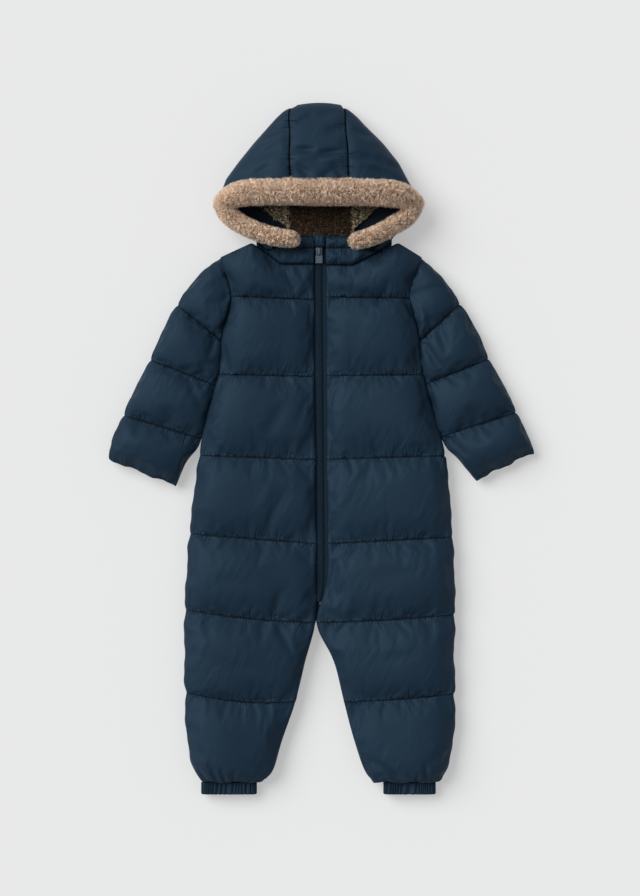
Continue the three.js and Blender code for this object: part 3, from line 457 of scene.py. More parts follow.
@contextmanager
def edited(piece):
    """Opens a piece's mesh for bmesh's tools, and puts it back with its faces outwards."""
    shape = bmesh.new()
    shape.from_mesh(piece.data)
    yield shape
    bmesh.ops.recalc_face_normals(shape, faces=shape.faces)
    shape.to_mesh(piece.data)
    shape.free()


def boundary(shape):
    return [e for e in shape.edges if e.is_boundary]


def close_to_plane(piece, plane_z):
    """Closes an open sheet with a wall down (or up) to a plane and a flat inner face on it."""
    with edited(piece) as shape:
        made = bmesh.ops.extrude_edge_only(shape, edges=boundary(shape))["geom"]
        for vertex in [g for g in made if isinstance(g, bmesh.types.BMVert)]:
            vertex.co.z = plane_z * MM
        bmesh.ops.triangle_fill(shape, edges=boundary(shape), use_beauty=True)


def store(mesh, name, values, kind="FLOAT_VECTOR", field="vector"):
    """Stores a value for each point of a mesh, which its material reads by name."""
    mesh.attributes.new(name, kind, "POINT").data.foreach_set(field, np.ravel(values))


def mark_quilting(sheet, points, stitched):
    """Stores on each point of a grid its way along its row in mm, and how near it is to the lines of
    stitching below and above it, from 1 on them to 0 at NEAR mm."""
    grid = np.array(points)[:, :, :2] / MM
    marks = np.zeros((*grid.shape[:2], 3))
    marks[:, :, 0] = np.linalg.norm(grid - grid[:, :1], axis=2)
    for low, high in zip(stitched, stitched[1:]):
        for k, line in ((1, low), (2, high)):
            away = np.linalg.norm(grid[low : high + 1] - grid[line], axis=2)
            marks[low : high + 1, :, k] = np.maximum(marks[low : high + 1, :, k], 1 - away / NEAR)
    marks[stitched, :, 1:] = 1
    store(sheet.data, "quilting", np.clip(marks, 0, [1000, 1, 1]))


def gather(piece, lowest):
    """Raises puckers beside the stitching of a marked piece, above a height in mm."""
    marks = np.empty(3 * len(piece.data.vertices))
    piece.data.attributes["quilting"].data.foreach_get("vector", marks)
    normals = [v.normal.copy() for v in piece.data.vertices]
    marks = marks.reshape(-1, 3).tolist()
    for vertex, normal, (along, *nearness) in zip(piece.data.vertices, normals, marks):
        if vertex.co.z < lowest * MM:
            continue
        height = 0.0
        for near, side in zip(nearness, PUCKER_SIDES):
            wave = noise.noise((along / GATHER_SPACING, 2 * near, side.seed))
            height += wave * near**4 * (1 - smoothstep(near, 0.86, 1)) * side.depth
        vertex.co += normal * (height * GATHER_HEIGHT * MM)


def finish_quilting(sheet, points, stitched, levels=1):
    """Rounds a settled grid of points, marked for its material and sharp along its stitching."""
    mark_quilting(sheet, points, stitched)
    crease_rows(sheet, len(points[0]), stitched[1:-1])
    subdivide(sheet, levels)


def smooth(piece, angle=50):
    select_only(piece)
    bpy.ops.object.shade_smooth_by_angle(angle=math.radians(angle))


# Plain-woven nylon taffeta, calendered: a soft satin face whose finest threads show as a faint grain.
# Sharp puckers run out from the stitching, which draws the cloth in, and slack cloth crinkles between.
# Along each line of stitching the colour is darkened: painted shade in the groove that the stitching pulls
# in.
THREAD = 0.8 * MM  # real threads are 0.15 mm, drawn coarser so that they show
CRINKLE = 14 * MM
CREASE_ANGLE = math.radians(-25)
CREASE_SIZE = (17 * MM, 90 * MM, 60 * MM)
PUCKER_SPACING = 8.5
GROOVE_SHADE_FROM, GROOVE_SHADE_TO = 0.945, 0.985  # nearness to a line over which the cloth is darkened, painted shade in the stitching's groove
CREASED, CRINKLED, GATHERED, WOVEN = 3.0, 0.3, 2.4, 0.02  # relief in mm


def noise_texture(tree, vector, scale, detail, **more):
    settings = {"Scale": scale, "Detail": detail, **more}
    return add_node(tree, "ShaderNodeTexNoise", settings, {"Vector": vector}).outputs["Fac"]


def mixed(tree, share, first, second):
    """A colour between two, each a hex colour or another node's output."""
    node = add_node(tree, "ShaderNodeMix", {"data_type": "RGBA"}, {"Factor": share})
    for socket, colour in (("A", first), ("B", second)):
        if isinstance(colour, str):
            node.inputs[socket].default_value = linear(colour)
        else:
            tree.links.new(colour, node.inputs[socket])
    return node.outputs["Result"]


def math_node(tree, operation, *values):
    """A Math node's output. A value is a number or another node's output."""
    node = add_node(tree, "ShaderNodeMath", {"operation": operation})
    for socket, value in zip(node.inputs, values):
        if isinstance(value, (int, float)):
            socket.default_value = value
        else:
            tree.links.new(value, socket)
    return node.outputs[0]


def map_range(tree, value, low, high, to_low, to_high):
    ranges = {"From Min": low, "From Max": high, "To Min": to_low, "To Max": to_high}
    settings = {"interpolation_type": "SMOOTHSTEP", **ranges}
    return add_node(tree, "ShaderNodeMapRange", settings, {"Value": value}).outputs["Result"]


def puckers(tree, along, near, side):
    """Height of the short creases beside a line: dark cracks with soft swellings between them."""
    across = math_node(tree, "MULTIPLY", near, 5.0)
    spot = add_node(tree, "ShaderNodeCombineXYZ", {"Z": side.seed}, {"X": along, "Y": across})
    wave = noise_texture(tree, spot.outputs[0], 1 / PUCKER_SPACING, 1.0)
    crack = math_node(tree, "ABSOLUTE", math_node(tree, "SUBTRACT", wave, 0.5))
    crack = map_range(tree, crack, 0.0, 0.055, -1.0, 0.0)
    height = math_node(tree, "MULTIPLY_ADD", wave, 1.4, crack)
    row = add_node(tree, "ShaderNodeCombineXYZ", {"Z": side.seed + 5}, {"X": along})
    varied = noise_texture(tree, row.outputs[0], 0.6 / PUCKER_SPACING, 0.0)
    reach = math_node(tree, "POWER", near, map_range(tree, varied, 0.3, 0.7, 2.2, 14.0))
    return math_node(tree, "MULTIPLY", math_node(tree, "MULTIPLY", height, reach), side.depth)


def nylon_taffeta(name, tones):
    material, tree, output = new_material(name)
    place = add_node(tree, "ShaderNodeTexCoord").outputs["Object"]
    quilting = add_node(tree, "ShaderNodeAttribute", {"attribute_name": "quilting"}).outputs["Vector"]
    marks = add_node(tree, "ShaderNodeSeparateXYZ", links={"Vector": quilting}).outputs
    patch = noise_texture(tree, place, 22.0, 3.0)
    face = mixed(tree, patch, tones["shade"], tones["face"])
    # Painted shade: the colour darkens towards each line of stitching, as if in shadow in its groove.
    stitch_groove_shade = map_range(tree, math_node(tree, "MAXIMUM", marks["Y"], marks["Z"]), GROOVE_SHADE_FROM, GROOVE_SHADE_TO, 0.0, 0.85)
    colour = mixed(tree, stitch_groove_shade, face, tones["stitch_groove_shade"])
    threads = []
    for axis in ("X", "Y"):
        thread = add_node(
            tree,
            "ShaderNodeTexWave",
            {"bands_direction": axis, "Scale": 0.5 / THREAD / math.pi, "Distortion": 0.6, "Detail": 1.0},
            {"Vector": place},
        )
        threads.append(thread.outputs["Fac"])
    crinkle = noise_texture(tree, place, 1 / CRINKLE, 4.0, Roughness=0.55, Distortion=0.8)
    turned = add_node(
        tree,
        "ShaderNodeMapping",
        {"vector_type": "TEXTURE", "Rotation": (0, 0, CREASE_ANGLE), "Scale": CREASE_SIZE},
        {"Vector": place},
    )
    crease = noise_texture(tree, turned.outputs[0], 1.0, 2.0)
    crease = math_node(tree, "ABSOLUTE", math_node(tree, "SUBTRACT", crease, 0.5))
    creased = math_node(tree, "MULTIPLY", crease, map_range(tree, patch, 0.48, 0.62, 0.0, 1.0))
    gathered = math_node(tree, "ADD", *(puckers(tree, marks["X"], marks[s.socket], s) for s in PUCKER_SIDES))
    normal = None
    for height, distance in (
        (creased, CREASED),
        (crinkle, CRINKLED),
        (gathered, GATHERED),
        (math_node(tree, "MULTIPLY", *threads), WOVEN),
    ):
        links = {"Height": height} if normal is None else {"Height": height, "Normal": normal}
        normal = add_node(tree, "ShaderNodeBump", {"Distance": distance * MM}, links).outputs[0]
    sheen = {"Sheen Weight": 0.08, "Sheen Roughness": 0.4, "Sheen Tint": linear(tones["sheen"])}
    gleam = {"IOR": 1.5, "Specular IOR Level": 0.2, "Specular Tint": linear(SATIN_GLEAM)}
    links = {"Base Color": colour, "Normal": normal}
    principled(tree, output, {"Roughness": 0.58, **gleam, **sheen}, links)
    return material


taffeta = nylon_taffeta("navy_nylon_taffeta", NYLON)


def front_height(half, x, y, width, across, share, place):
    at_zip = min(max(place - CROTCH, 0), 1)
    edge = lerp(lerp(SEAM_THICKNESS, ZIP_EDGE_THICKNESS, at_zip), SEAM_THICKNESS, across)
    rise = min(roll(across * width, SEAM_ROLL), roll((1 - across) * width, SEAM_ROLL))
    rise *= lerp(ZIP_SIDE_RISE, 1, math.sin(math.pi * min(max(across, 0), 1) ** 1.6))
    crest = lerp(FRONT_STITCHED, FRONT_CREST, puff(share))
    return max(edge + (crest - edge) * rise - rise * fold_depth(FOLDS, half.side * x, y), 2)


fronts = {}
for name, half in HALVES.items():
    rows = half_rows(half, FRONT_COLUMNS, CLOTH_STEP, half.stations[-1].inner_y, half.neck_flat_to)
    points = []
    for row in rows:
        line = []
        for x, y, width, across, share, place in row:
            z = FRONT_INSIDE + front_height(half, x, y, width, across, share, place)
            hang = ANKLE_HANG * max(0, 1 - place / 0.4) * (0.5 + 0.5 * math.sin(x / 5.2 + 2 * half.side))
            line.append((half.side * x * MM, (y - hang) * MM, z * MM))
        points.append(line if half.side > 0 else line[::-1])
    sheet = grid_mesh(f"front_panel_{name}", points)
    stitched = [j for j, row in enumerate(rows) if row[0][4] == 0.0]
    fronts[name] = (sheet, edge_and_stitched(points, stitched), stitched, points)
settle([(sheet, pins) for sheet, pins, _, _ in fronts.values()], 0.03, 5.0, rise=4.0)
for name, (sheet, pins, stitched, points) in fronts.items():
    finish_quilting(sheet, points, stitched)
    gather(sheet, FRONT_INSIDE)
    close_to_plane(sheet, FRONT_INSIDE)
    smooth(sheet, 60)
    sheet.data.materials.append(taffeta)
    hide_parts(f"front_{name}")
    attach(sheet, "garment")

# Spun polyester sewing thread dyed to match: short twisted lock stitches sunk in the quilting lines.
thread_polyester, tree, output = new_material("spun_polyester_thread")
place = add_node(tree, "ShaderNodeTexCoord").outputs["Object"]
tone = mixed(tree, noise_texture(tree, place, 1400.0, 1.0), "#050a10", "#0b1520")
principled(tree, output, {"Roughness": 0.75}, {"Base Color": tone})
STITCH_PITCH = 3.6
STITCH_RINGS = ((-0.5, 0.4), (-0.3, 1.0), (0.3, 1.0), (0.5, 0.4))  # along a stitch, share of its radius
STITCH_SIDES = 5
STITCH_LENGTH = 2.7
STITCH_RADIUS = 0.24


def stitching(name, lines):
    """Lock stitches along lines of points in metres, each stitch a short bead of thread."""
    spots = []
    for line in lines:
        ends = [Vector(p) for p in line]
        ahead = 0.0
        for a, b in zip(ends, ends[1:]):
            span = (b - a).length
            while ahead < span:
                spots.append((a.lerp(b, ahead / span), (b - a).normalized()))
                ahead += STITCH_PITCH * MM
            ahead -= span
    points, faces = [], []
    for middle, along in spots:
        side = along.cross(Vector((0, 0, 1))).normalized()
        up = side.cross(along)
        first = len(points)
        for shift, size in STITCH_RINGS:
            for k in range(STITCH_SIDES):
                turn = math.tau * k / STITCH_SIDES
                ring = side * math.cos(turn) + up * math.sin(turn)
                points.append(middle + (along * shift * STITCH_LENGTH + ring * size * STITCH_RADIUS) * MM)
        for r in range(len(STITCH_RINGS) - 1):
            for k in range(STITCH_SIDES):
                a = first + STITCH_SIDES * r + k
                b = first + STITCH_SIDES * r + (k + 1) % STITCH_SIDES
                faces.append((a, b, b + STITCH_SIDES, a + STITCH_SIDES))
        last = first + STITCH_SIDES * (len(STITCH_RINGS) - 1)
        faces.append(tuple(first + k for k in reversed(range(STITCH_SIDES))))
        faces.append(tuple(last + k for k in range(STITCH_SIDES)))
    made = mesh_object(name, points, faces)
    made.data.materials.append(thread_polyester)
    smooth(made, 80)
    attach(made, "garment")


def raised(line, height=0.15):
    return [(x, y, z + height * MM) for x, y, z in line]


lines = []
for sheet, pins, stitched, points in fronts.values():
    lines += [raised(points[j]) for j in stitched[1:-1]]
stitching("quilting_stitches_front", lines)

# The right and left back: the same nylon and wadding, flattened where the suit lies on them and
# rolling up to the side seams, with the fronts' quilting lines running on round them.
BACK_ROLL = 18
BACK_NECK_Y = 237.5
BACK_STEP = 6.8
BACK_COLUMNS = 30
BACK_GROOVE = 2.4
for name, half in HALVES.items():
    crotch_y = half.stations[CROTCH].inner_y

    def centre_back(x, y):
        return lerp(x, SEAM_GAP / 2, smoothstep(y, crotch_y, crotch_y + 9))

    points = []
    for row in half_rows(half, BACK_COLUMNS, BACK_STEP, BACK_NECK_Y, half.back_neck_to, centre_back):
        line = []
        for x, y, width, across, share, place in row:
            inner_roll = roll(across * width + (BACK_ROLL if y > crotch_y else 0), BACK_ROLL)
            rest = min(inner_roll, roll((1 - across) * width, BACK_ROLL))
            groove = BACK_GROOVE * (1 - puff(share)) * rest
            z = (BACK_INSIDE - SEAM_THICKNESS) * (1 - rest) + groove
            line.append((half.side * x * MM, y * MM, z * MM))
        points.append(line)
    back = grid_mesh(f"back_panel_{name}", points)
    subdivide(back)
    close_to_plane(back, BACK_INSIDE)
    smooth(back, 60)
    back.data.materials.append(taffeta)
    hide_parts(f"back_{name}")
    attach(back, "garment")

# The sleeves: padded tubes set into the armholes and laid flat, quilted across in four channels,
# with a plain turned hem at the wrist that stands a little open.
Arm = namedtuple("Arm", "outer_x outer_y inner_x inner_y quilted")
SLEEVES = {
    "right": [
        Arm(120.1, 228.6, 117.8, 139.2, True),
        Arm(144, 210.5, 119.4, 134, False),
        Arm(172.6, 172.8, 120.6, 127, True),
        Arm(189.4, 141, 122.4, 100, False),
        Arm(205.4, 106.2, 127.6, 74.4, True),
        Arm(223.4, 70, 136.6, 42, False),
        Arm(237.4, 39.6, 145, 10.8, True),
        Arm(247.6, 16, 160, -16, False),
        Arm(256.4, -12.5, 172.6, -46, True),
    ],
    "left": [
        Arm(122.7, 228.6, 119, 139.2, True),
        Arm(146.4, 206.5, 120.6, 134, False),
        Arm(169.4, 174, 122.2, 127, True),
        Arm(188.4, 142, 124.2, 100, False),
        Arm(204.2, 107.6, 129.2, 76, True),
        Arm(223.8, 71, 138.2, 43.2, False),
        Arm(237.2, 43.2, 147.6, 13, True),
        Arm(248.4, 19.2, 166, -13.2, False),
        Arm(258.6, -4.4, 187, -39, True),
    ],
}
SLEEVE_MIDDLE = 13
SLEEVE_CREST = 32.5
SLEEVE_STITCHED = 22
SLEEVE_NOTCH = 2.6
SLEEVE_TOP_POINTS = 30
SLEEVE_UNDER_POINTS = 12
WRIST_HEM = 8
WRIST_WAVES = ((2.3, 1.3), (5.1, 0.7))  # waves across the hem and their height
TUCKED = 3.4  # how far the sleeve's inner side is pressed against the body
ARMHOLE_LAP = 1.2  # how far the sleeve's cloth swells over the armhole's seam
Mouth = namedtuple("Mouth", "shrink flatten deeper")
WRIST_MOUTH = [Mouth(0.95, 0.75, 0.6), Mouth(0.93, 0.22, 2.0), Mouth(0.93, 0.6, 18)]


def sleeve_ring(half, arms, outer, inner, place, share):
    """One section of a sleeve, up over the arm and back underneath it."""
    last = len(arms) - 1
    a, b = through(outer, place / last), through(inner, place / last)
    side = knots(half.stations, "outer_x", "outer_y")
    fade = max(0, 1 - place / 2)
    notch = SLEEVE_NOTCH * (1 - puff(share)) ** 2 / np.linalg.norm(a - b) if place > 1 else 0
    hem = WRIST_HEM * smoothstep(place, last - 0.5, last)
    crest = lerp(SLEEVE_STITCHED, SLEEVE_CREST, puff(share)) - hem
    wrist_ward = np.array([a[1] - b[1], b[0] - a[0]]) / np.linalg.norm(a - b)
    tucked = TUCKED * smoothstep(place, 0.3, 1.6) * (1 - smoothstep(place, last - 1.6, last - 0.8))
    turns = [math.pi * i / SLEEVE_TOP_POINTS for i in range(SLEEVE_TOP_POINTS + 1)]
    under = SLEEVE_UNDER_POINTS
    turns += [math.pi * (1 + (i + 0.7) / (under + 0.4)) for i in range(under)]
    ring = []
    for turn in turns:
        across = notch + (0.5 - 0.5 * math.cos(turn)) * (1 - 1.3 * notch)
        armhole_x = through(side, 1 - across * 2 / (len(side) - 1))[0] - ARMHOLE_LAP
        start_x = lerp(arms[0].outer_x, arms[0].inner_x, across)
        waves = sum(height * math.sin(math.tau * count * across + half.side) for count, height in WRIST_WAVES)
        hang = wrist_ward * waves * smoothstep(place, last - 0.8, last)
        x = lerp(a[0], b[0], across) + fade * (armhole_x - start_x) + hang[0] - tucked * across
        x *= half.side
        y = lerp(a[1], b[1], across) + hang[1]
        if turn <= math.pi:
            height = max(math.sin(turn), 0) ** 0.75
            z = SLEEVE_MIDDLE + (crest - SLEEVE_MIDDLE) * height - height * fold_depth(FOLDS, x, y)
            z = max(z, SLEEVE_MIDDLE + 3 * height)
        else:
            z = SLEEVE_MIDDLE * (1 - min(1, 1.2 * (-math.sin(turn)) ** 0.6))
        ring.append((x * MM, y * MM, z * MM))
    return ring if half.side > 0 else ring[::-1]


def close_sleeve(piece, armhole, wrist):
    """Closes the armhole end with a face, and turns the wrist end in to a flat mouth."""
    inward = (armhole - wrist).normalized()
    centre = Vector((wrist.x, wrist.y, SLEEVE_MIDDLE * MM))
    with edited(piece) as shape:
        at_wrist, at_armhole = [], []
        for edge in boundary(shape):
            spot = edge.verts[0].co
            (at_wrist if (spot - wrist).length < (spot - armhole).length else at_armhole).append(edge)
        bmesh.ops.triangle_fill(shape, edges=at_armhole, use_beauty=True)
        for step in WRIST_MOUTH:
            made = bmesh.ops.extrude_edge_only(shape, edges=at_wrist)["geom"]
            for vertex in [g for g in made if isinstance(g, bmesh.types.BMVert)]:
                out = vertex.co - centre
                flat = Vector((out.x * step.shrink, out.y * step.shrink, out.z * step.flatten))
                vertex.co = centre + flat + inward * step.deeper * MM
            centre = centre + inward * step.deeper * MM
            at_wrist = [g for g in made if isinstance(g, bmesh.types.BMEdge) and g.is_boundary]
        bmesh.ops.triangle_fill(shape, edges=at_wrist, use_beauty=True)


sleeves = {}
for name, half in HALVES.items():
    arms = SLEEVES[name]
    outer, inner = knots(arms, "outer_x", "outer_y"), knots(arms, "inner_x", "inner_y")
    places = section_places(arms, CLOTH_STEP)
    rows = [sleeve_ring(half, arms, outer, inner, place, share) for place, share in places]
    tube = grid_mesh(f"sleeve_tube_{name}", rows, closed=True)
    stitched = [j for j, (place, share) in enumerate(places) if share == 0]
    flat = (SLEEVE_MIDDLE + 2) * MM
    count = len(rows[0])
    low = [[p[2] < flat for p in row] for row in rows]
    pins = [j * count + i for j in range(len(rows)) for i in range(count) if j in stitched or low[j][i]]
    sleeves[name] = (tube, pins, stitched, rows)
settle([(tube, pins) for tube, pins, _, _ in sleeves.values()], 0.04, 5.0, rise=4.0)
lines = []
for name, (tube, pins, stitched, rows) in sleeves.items():
    finish_quilting(tube, rows, stitched)
    gather(tube, SLEEVE_MIDDLE + 3)
    ends = [sum((Vector(p) for p in row), Vector()) / len(row) for row in (rows[0], rows[-1])]
    close_sleeve(tube, *ends)
    smooth(tube, 60)
    tube.data.materials.append(taffeta)
    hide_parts(f"sleeve_{name}")
    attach(tube, "garment")
    lines += [raised(sorted(p for p in rows[j] if p[2] > SLEEVE_MIDDLE * MM)) for j in stitched[1:-1]]
stitching("quilting_stitches_sleeves", lines)

# The ankle bands: a casing of the same nylon, gathered into fine upright folds by the elastic
# drawn through it, open at its lower end where the foot comes out.
Band = namedtuple("Band", "x half_width")
BANDS = {"right": Band(-109.4, 33.5), "left": Band(107.6, 31.5)}
BAND_TOP = -400.8
BAND_BOTTOM = -416.4
BAND_RADIUS = 10
BAND_WALL = 5
GATHERS = 44
GATHER_POINTS = 6
Casing = namedtuple("Casing", "along inset ripple")
CASING = [
    Casing(0.5, BAND_WALL, 0.2),
    Casing(0.06, BAND_WALL - 0.6, 0.3),
    Casing(0.0, BAND_WALL * 0.5, 0.6),
    Casing(0.04, 1.2, 0.9),
    Casing(0.14, 0.3, 1.0),
    Casing(0.32, 0.9, 1.1),
    Casing(0.5, 0.5, 1.1),
    Casing(0.7, 1.0, 1.1),
    Casing(0.88, 0.3, 1.0),
    Casing(0.97, 1.2, 0.9),
    Casing(1.0, BAND_WALL * 0.5, 0.6),
    Casing(0.94, BAND_WALL - 0.6, 0.3),
]


def band_ring(band, casing, seed):
    ring = []
    for i in range(GATHERS * GATHER_POINTS):
        turn = math.tau * i / (GATHERS * GATHER_POINTS)
        uneven = 1.9 * math.sin(3 * turn + seed) + 1.3 * math.sin(7 * turn + 2 * seed) + 0.5 * casing.along
        ripple = casing.ripple * (3.0 * abs(math.cos(0.5 * GATHERS * turn + uneven)) ** 0.7 - 2.2)
        across = math.copysign(abs(math.cos(turn)) ** 0.7, math.cos(turn))
        up = math.copysign(abs(math.sin(turn)) ** 0.7, math.sin(turn))
        reach = BAND_RADIUS - casing.inset + (ripple if up > 0 else min(ripple, 0))
        x = band.x + (band.half_width - casing.inset + ripple) * across
        y = lerp(BAND_BOTTOM, BAND_TOP, casing.along) - 0.3 * ripple * (1 - casing.along)
        ring.append((x * MM, y * MM, (BAND_RADIUS + reach * up) * MM))
    return ring


for seed, (name, band) in enumerate(BANDS.items()):
    rows = [band_ring(band, casing, seed + 1.3) for casing in CASING]
    cuff = grid_mesh(f"ankle_casing_{name}", rows + rows[:1], closed=True)
    with edited(cuff) as shape:
        bmesh.ops.remove_doubles(shape, verts=shape.verts, dist=1e-7)
    subdivide(cuff)
    smooth(cuff, 70)
    cuff.data.materials.append(taffeta)
    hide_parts(f"ankle_band_{name}")
    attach(cuff, "garment")

# The collar: two padded halves that stand on the neck seam below the fur, each with one line of
# stitching along it, and meet the zip at the centre front.
COLLAR_INSIDE = 19
COLLAR_EDGE = 6
COLLAR_CREST = 12.5
COLLAR_STITCHED = 8
COLLAR_TOP = 254
COLLAR_STITCH_Y = 239.5
COLLAR_REACH = {"right": 76, "left": 86}
COLLAR_COLUMNS = 32
COLLAR_ROWS = 7  # in each of its two channels
COLLAR_LINES = [0, COLLAR_ROWS, 2 * COLLAR_ROWS]  # its lower seam, its stitching and its upper seam
NECK_REACH = {"right": 64, "left": 73}  # where the hood's lower edge meets its side
collars = {}
for name, half in HALVES.items():
    tip = half.stations[-1]
    stitch = (COLLAR_STITCH_Y - tip.inner_y) / (COLLAR_TOP - tip.inner_y)
    points = []
    for j in range(2 * COLLAR_ROWS + 1):
        channel, share = divmod(j / COLLAR_ROWS, 1)
        up = lerp(0, stitch, j / COLLAR_ROWS) if channel == 0 else lerp(stitch, 1, j / COLLAR_ROWS - 1)
        at_edge = j in (0, 2 * COLLAR_ROWS)
        line = []
        for i in range(COLLAR_COLUMNS + 1):
            across = i / COLLAR_COLUMNS
            x = lerp(tip.inner_x, COLLAR_REACH[name], across)
            bottom = top_edge(half, x, tip.inner_y, half.neck_flat_to) + SEAM_GAP
            hood_edge = 238 + max(0, x - NECK_REACH[name]) * 0.9
            top = lerp(COLLAR_TOP + 2 * across, hood_edge + 1.5, smoothstep(x, 50, 66))
            y = lerp(bottom, max(top, bottom + 1.5), up)
            crest = lerp(COLLAR_EDGE if at_edge else COLLAR_STITCHED, COLLAR_CREST, puff(share))
            z = COLLAR_INSIDE + COLLAR_EDGE + (crest - COLLAR_EDGE) * roll(across * 60 + 8, 20)
            line.append((half.side * x * MM, y * MM, z * MM))
        points.append(line if half.side > 0 else line[::-1])
    sheet = grid_mesh(f"collar_panel_{name}", points)
    collars[name] = (sheet, edge_and_stitched(points, COLLAR_LINES), points)
settle([(sheet, pins) for sheet, pins, _ in collars.values()], 0.05, 5.0, rise=2.0, fall=1.5)
lines = []
for name, (sheet, pins, points) in collars.items():
    finish_quilting(sheet, points, COLLAR_LINES, levels=2)
    close_to_plane(sheet, COLLAR_INSIDE)
    smooth(sheet, 60)
    sheet.data.materials.append(taffeta)
    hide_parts(f"collar_{name}")
    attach(sheet, "garment")
    lines.append(raised(points[COLLAR_ROWS]))
stitching("quilting_stitches_collar", lines)

# The hood's padded shell: a long middle panel that runs from the brim over the crown to the back of
# the neck, between two side panels. It lies as an open bag whose seams sink into the wadding.
Section = namedtuple("Section", "y right left middle top base bow")
HOOD_SECTIONS = [
    Section(238, 64, 73, 33, 46, 0, 0),
    Section(247, 74, 84, 34, 47, 0, 0),
    Section(257, 85, 92, 34, 48, 0, 0),
    Section(268, 99, 102, 32, 49, 0, 0),
    Section(280, 112, 112, 29, 51, 0, 0),
    Section(292, 118, 116, 27, 54, 0, 0),
    Section(304, 119, 115, 25, 57, 0, 0),
    Section(322, 113, 105, 22, 58, 0, 0),
    Section(342, 98.6, 94.7, 19, 55, 0, 0),
    Section(366, 79.5, 75.6, 16, 48, 0, 0),
    Section(387, 61, 54.5, 14, 38, 0, 0),
    Section(397, 52, 45.4, 13, 33, 0, 0),
    Section(404, 44.5, 37.5, 12.5, 28, 0, 0),
    Section(408.4, 38.5, 31, 12, 23.5, 1.5, 1.2),
    Section(411, 29, 27, 11, 17, 5, 3),
]
SHADED_INSIDE_NYLON = {"face": "#07121f", "shade": "#060e18", "stitch_groove_shade": "#020406", "sheen": "#18283a"}  # the bag's inside: the same nylon, painted near-black as shade
CROWN_SEAMS = ([216, 309, 430], {-1: [-33, -35.5, -37.5], 1: [35, 35.5, 28.5]})
HOOD_SEAM_GAP = 0.1
SEAM_DIP = 3.5
SEAM_DIP_WIDTH = 6
BRIM_Y = 309
BRIM_CORNER = 0.42  # radians up round a section from its widest line
HOOD_STEP = 3.2
CROWN_COLUMNS = 22
OVER_COLUMNS = 14  # of a side panel, from the crown seam to the brim's corner
ROUND_COLUMNS = 32  # and on from there round to the seam underneath
SHELL_INSIDE = 9.7  # how far the shell's inner face is drawn in
LINING_BESIDE = 2.5
HOOD_FOLDS = [
    Fold(-19, 355, -2, 32, 4.2, 6.1),
    Fold(-20, 349, 4, 28, 3.6, -3),
    Fold(12, 352, 8, 38, 4.2, 6.8),
    Fold(14, 346, 6, 34, 4.2, -3),
    Fold(20, 381, 12, 30, 5.6, 4.9),
    Fold(-22, 392, 24, 36, 4.2, 4.6),
    Fold(2, 398, 10, 40, 4.2, 3.4),
    Fold(58, 346, -12, 50, 4.2, 6.5),
    Fold(54, 340, -14, 44, 4.2, -3),
    Fold(84, 338, -18, 36, 4.2, 5.3),
    Fold(50, 376, -20, 30, 4.2, 4.2),
    Fold(-54, 376, 24, 46, 4.8, 6.1),
    Fold(-56, 368, 24, 40, 4.2, -2.7),
    Fold(-68, 352, 18, 50, 5.6, 3.4),
    Fold(-50, 392, 40, 24, 3.6, 3.8),
    Fold(-20, 331, -38, 26, 4.2, 4.9),
    Fold(22, 330, -44, 26, 4.2, 5.7),
    Fold(8, 326, 30, 22, 4.2, 4.6),
    Fold(75, 328, -28, 34, 4.2, 4.9),
    Fold(-70, 330, 35, 34, 4.2, 3.8),
    Fold(-96, 326, 20, 26, 4.2, 3.4),
]


def hood_seam(y, side, inset=0):
    """Where a crown seam runs. The lining's seams lie a little beside the shell's."""
    wavy = 0.5 * math.sin(y / 8 + side)
    beside = LINING_BESIDE * side if inset > SHELL_INSIDE else 0
    return float(np.interp(y, CROWN_SEAMS[0], CROWN_SEAMS[1][side])) + wavy + beside


def hood_section(y, inset):
    """The bag's section at a height, drawn in by an inset where it has the room."""
    ys = [s.y for s in HOOD_SECTIONS]
    at = Section(*(float(np.interp(y, ys, [s[k] for s in HOOD_SECTIONS])) for k in range(7)))
    room = min(inset, (at.top - at.base) / 2 - 1.2)
    low, high = at.base + room, at.top - room
    middle = min(max(at.middle, low + 0.3), high - 0.3)
    back = room * smoothstep(y, 392, 411)
    return Section(y - back, at.right - room, at.left - room, middle, high, low, at.bow)


def hood_point(section, across, upper, inset):
    """A point of a section, across from -1 at its right edge to 1 at its left one."""
    x = (section.right if across < 0 else section.left) * across
    out = abs(across)
    over = max(0, 1 - out**2.4) ** 0.45
    under = 1 - math.sqrt(max(0, 1 - max(0, (out - 0.5) / 0.5) ** 2))
    y = section.y + section.bow * (1 - across * across)
    if not upper:
        return x * MM, y * MM, (section.base + (section.middle - section.base) * under) * MM
    z = section.middle + (section.top - section.middle) * over
    if inset == 0:
        for side in (-1, 1):
            z -= SEAM_DIP * over * math.exp(-(((x - hood_seam(y, side)) / SEAM_DIP_WIDTH) ** 2))
        z -= over * fold_depth(HOOD_FOLDS, x, y)
    return x * MM, y * MM, z * MM


def crown_rows(ys, inset):
    """The middle panel: from the brim over the crown and down the back to the neck."""
    top = [y for y in ys if y >= BRIM_Y]
    rows = []
    for y, upper in [(y, True) for y in top] + [(y, False) for y in reversed(ys)]:
        section = hood_section(y, inset)
        right = max(hood_seam(y, -1, inset) + HOOD_SEAM_GAP / 2, -section.right) / section.right
        left = min(hood_seam(y, 1, inset) - HOOD_SEAM_GAP / 2, section.left) / section.left
        across = [lerp(right, left, i / CROWN_COLUMNS) for i in range(CROWN_COLUMNS + 1)]
        rows.append([hood_point(section, c, upper, inset) for c in across])
    tip = [
        ((a[0] + b[0]) / 2, (a[1] + b[1]) / 2 + 1.6 * MM, (a[2] + b[2]) / 2)
        for a, b in zip(rows[len(top) - 1], rows[len(top)])
    ]
    return rows[: len(top)] + [tip] + rows[len(top) :]


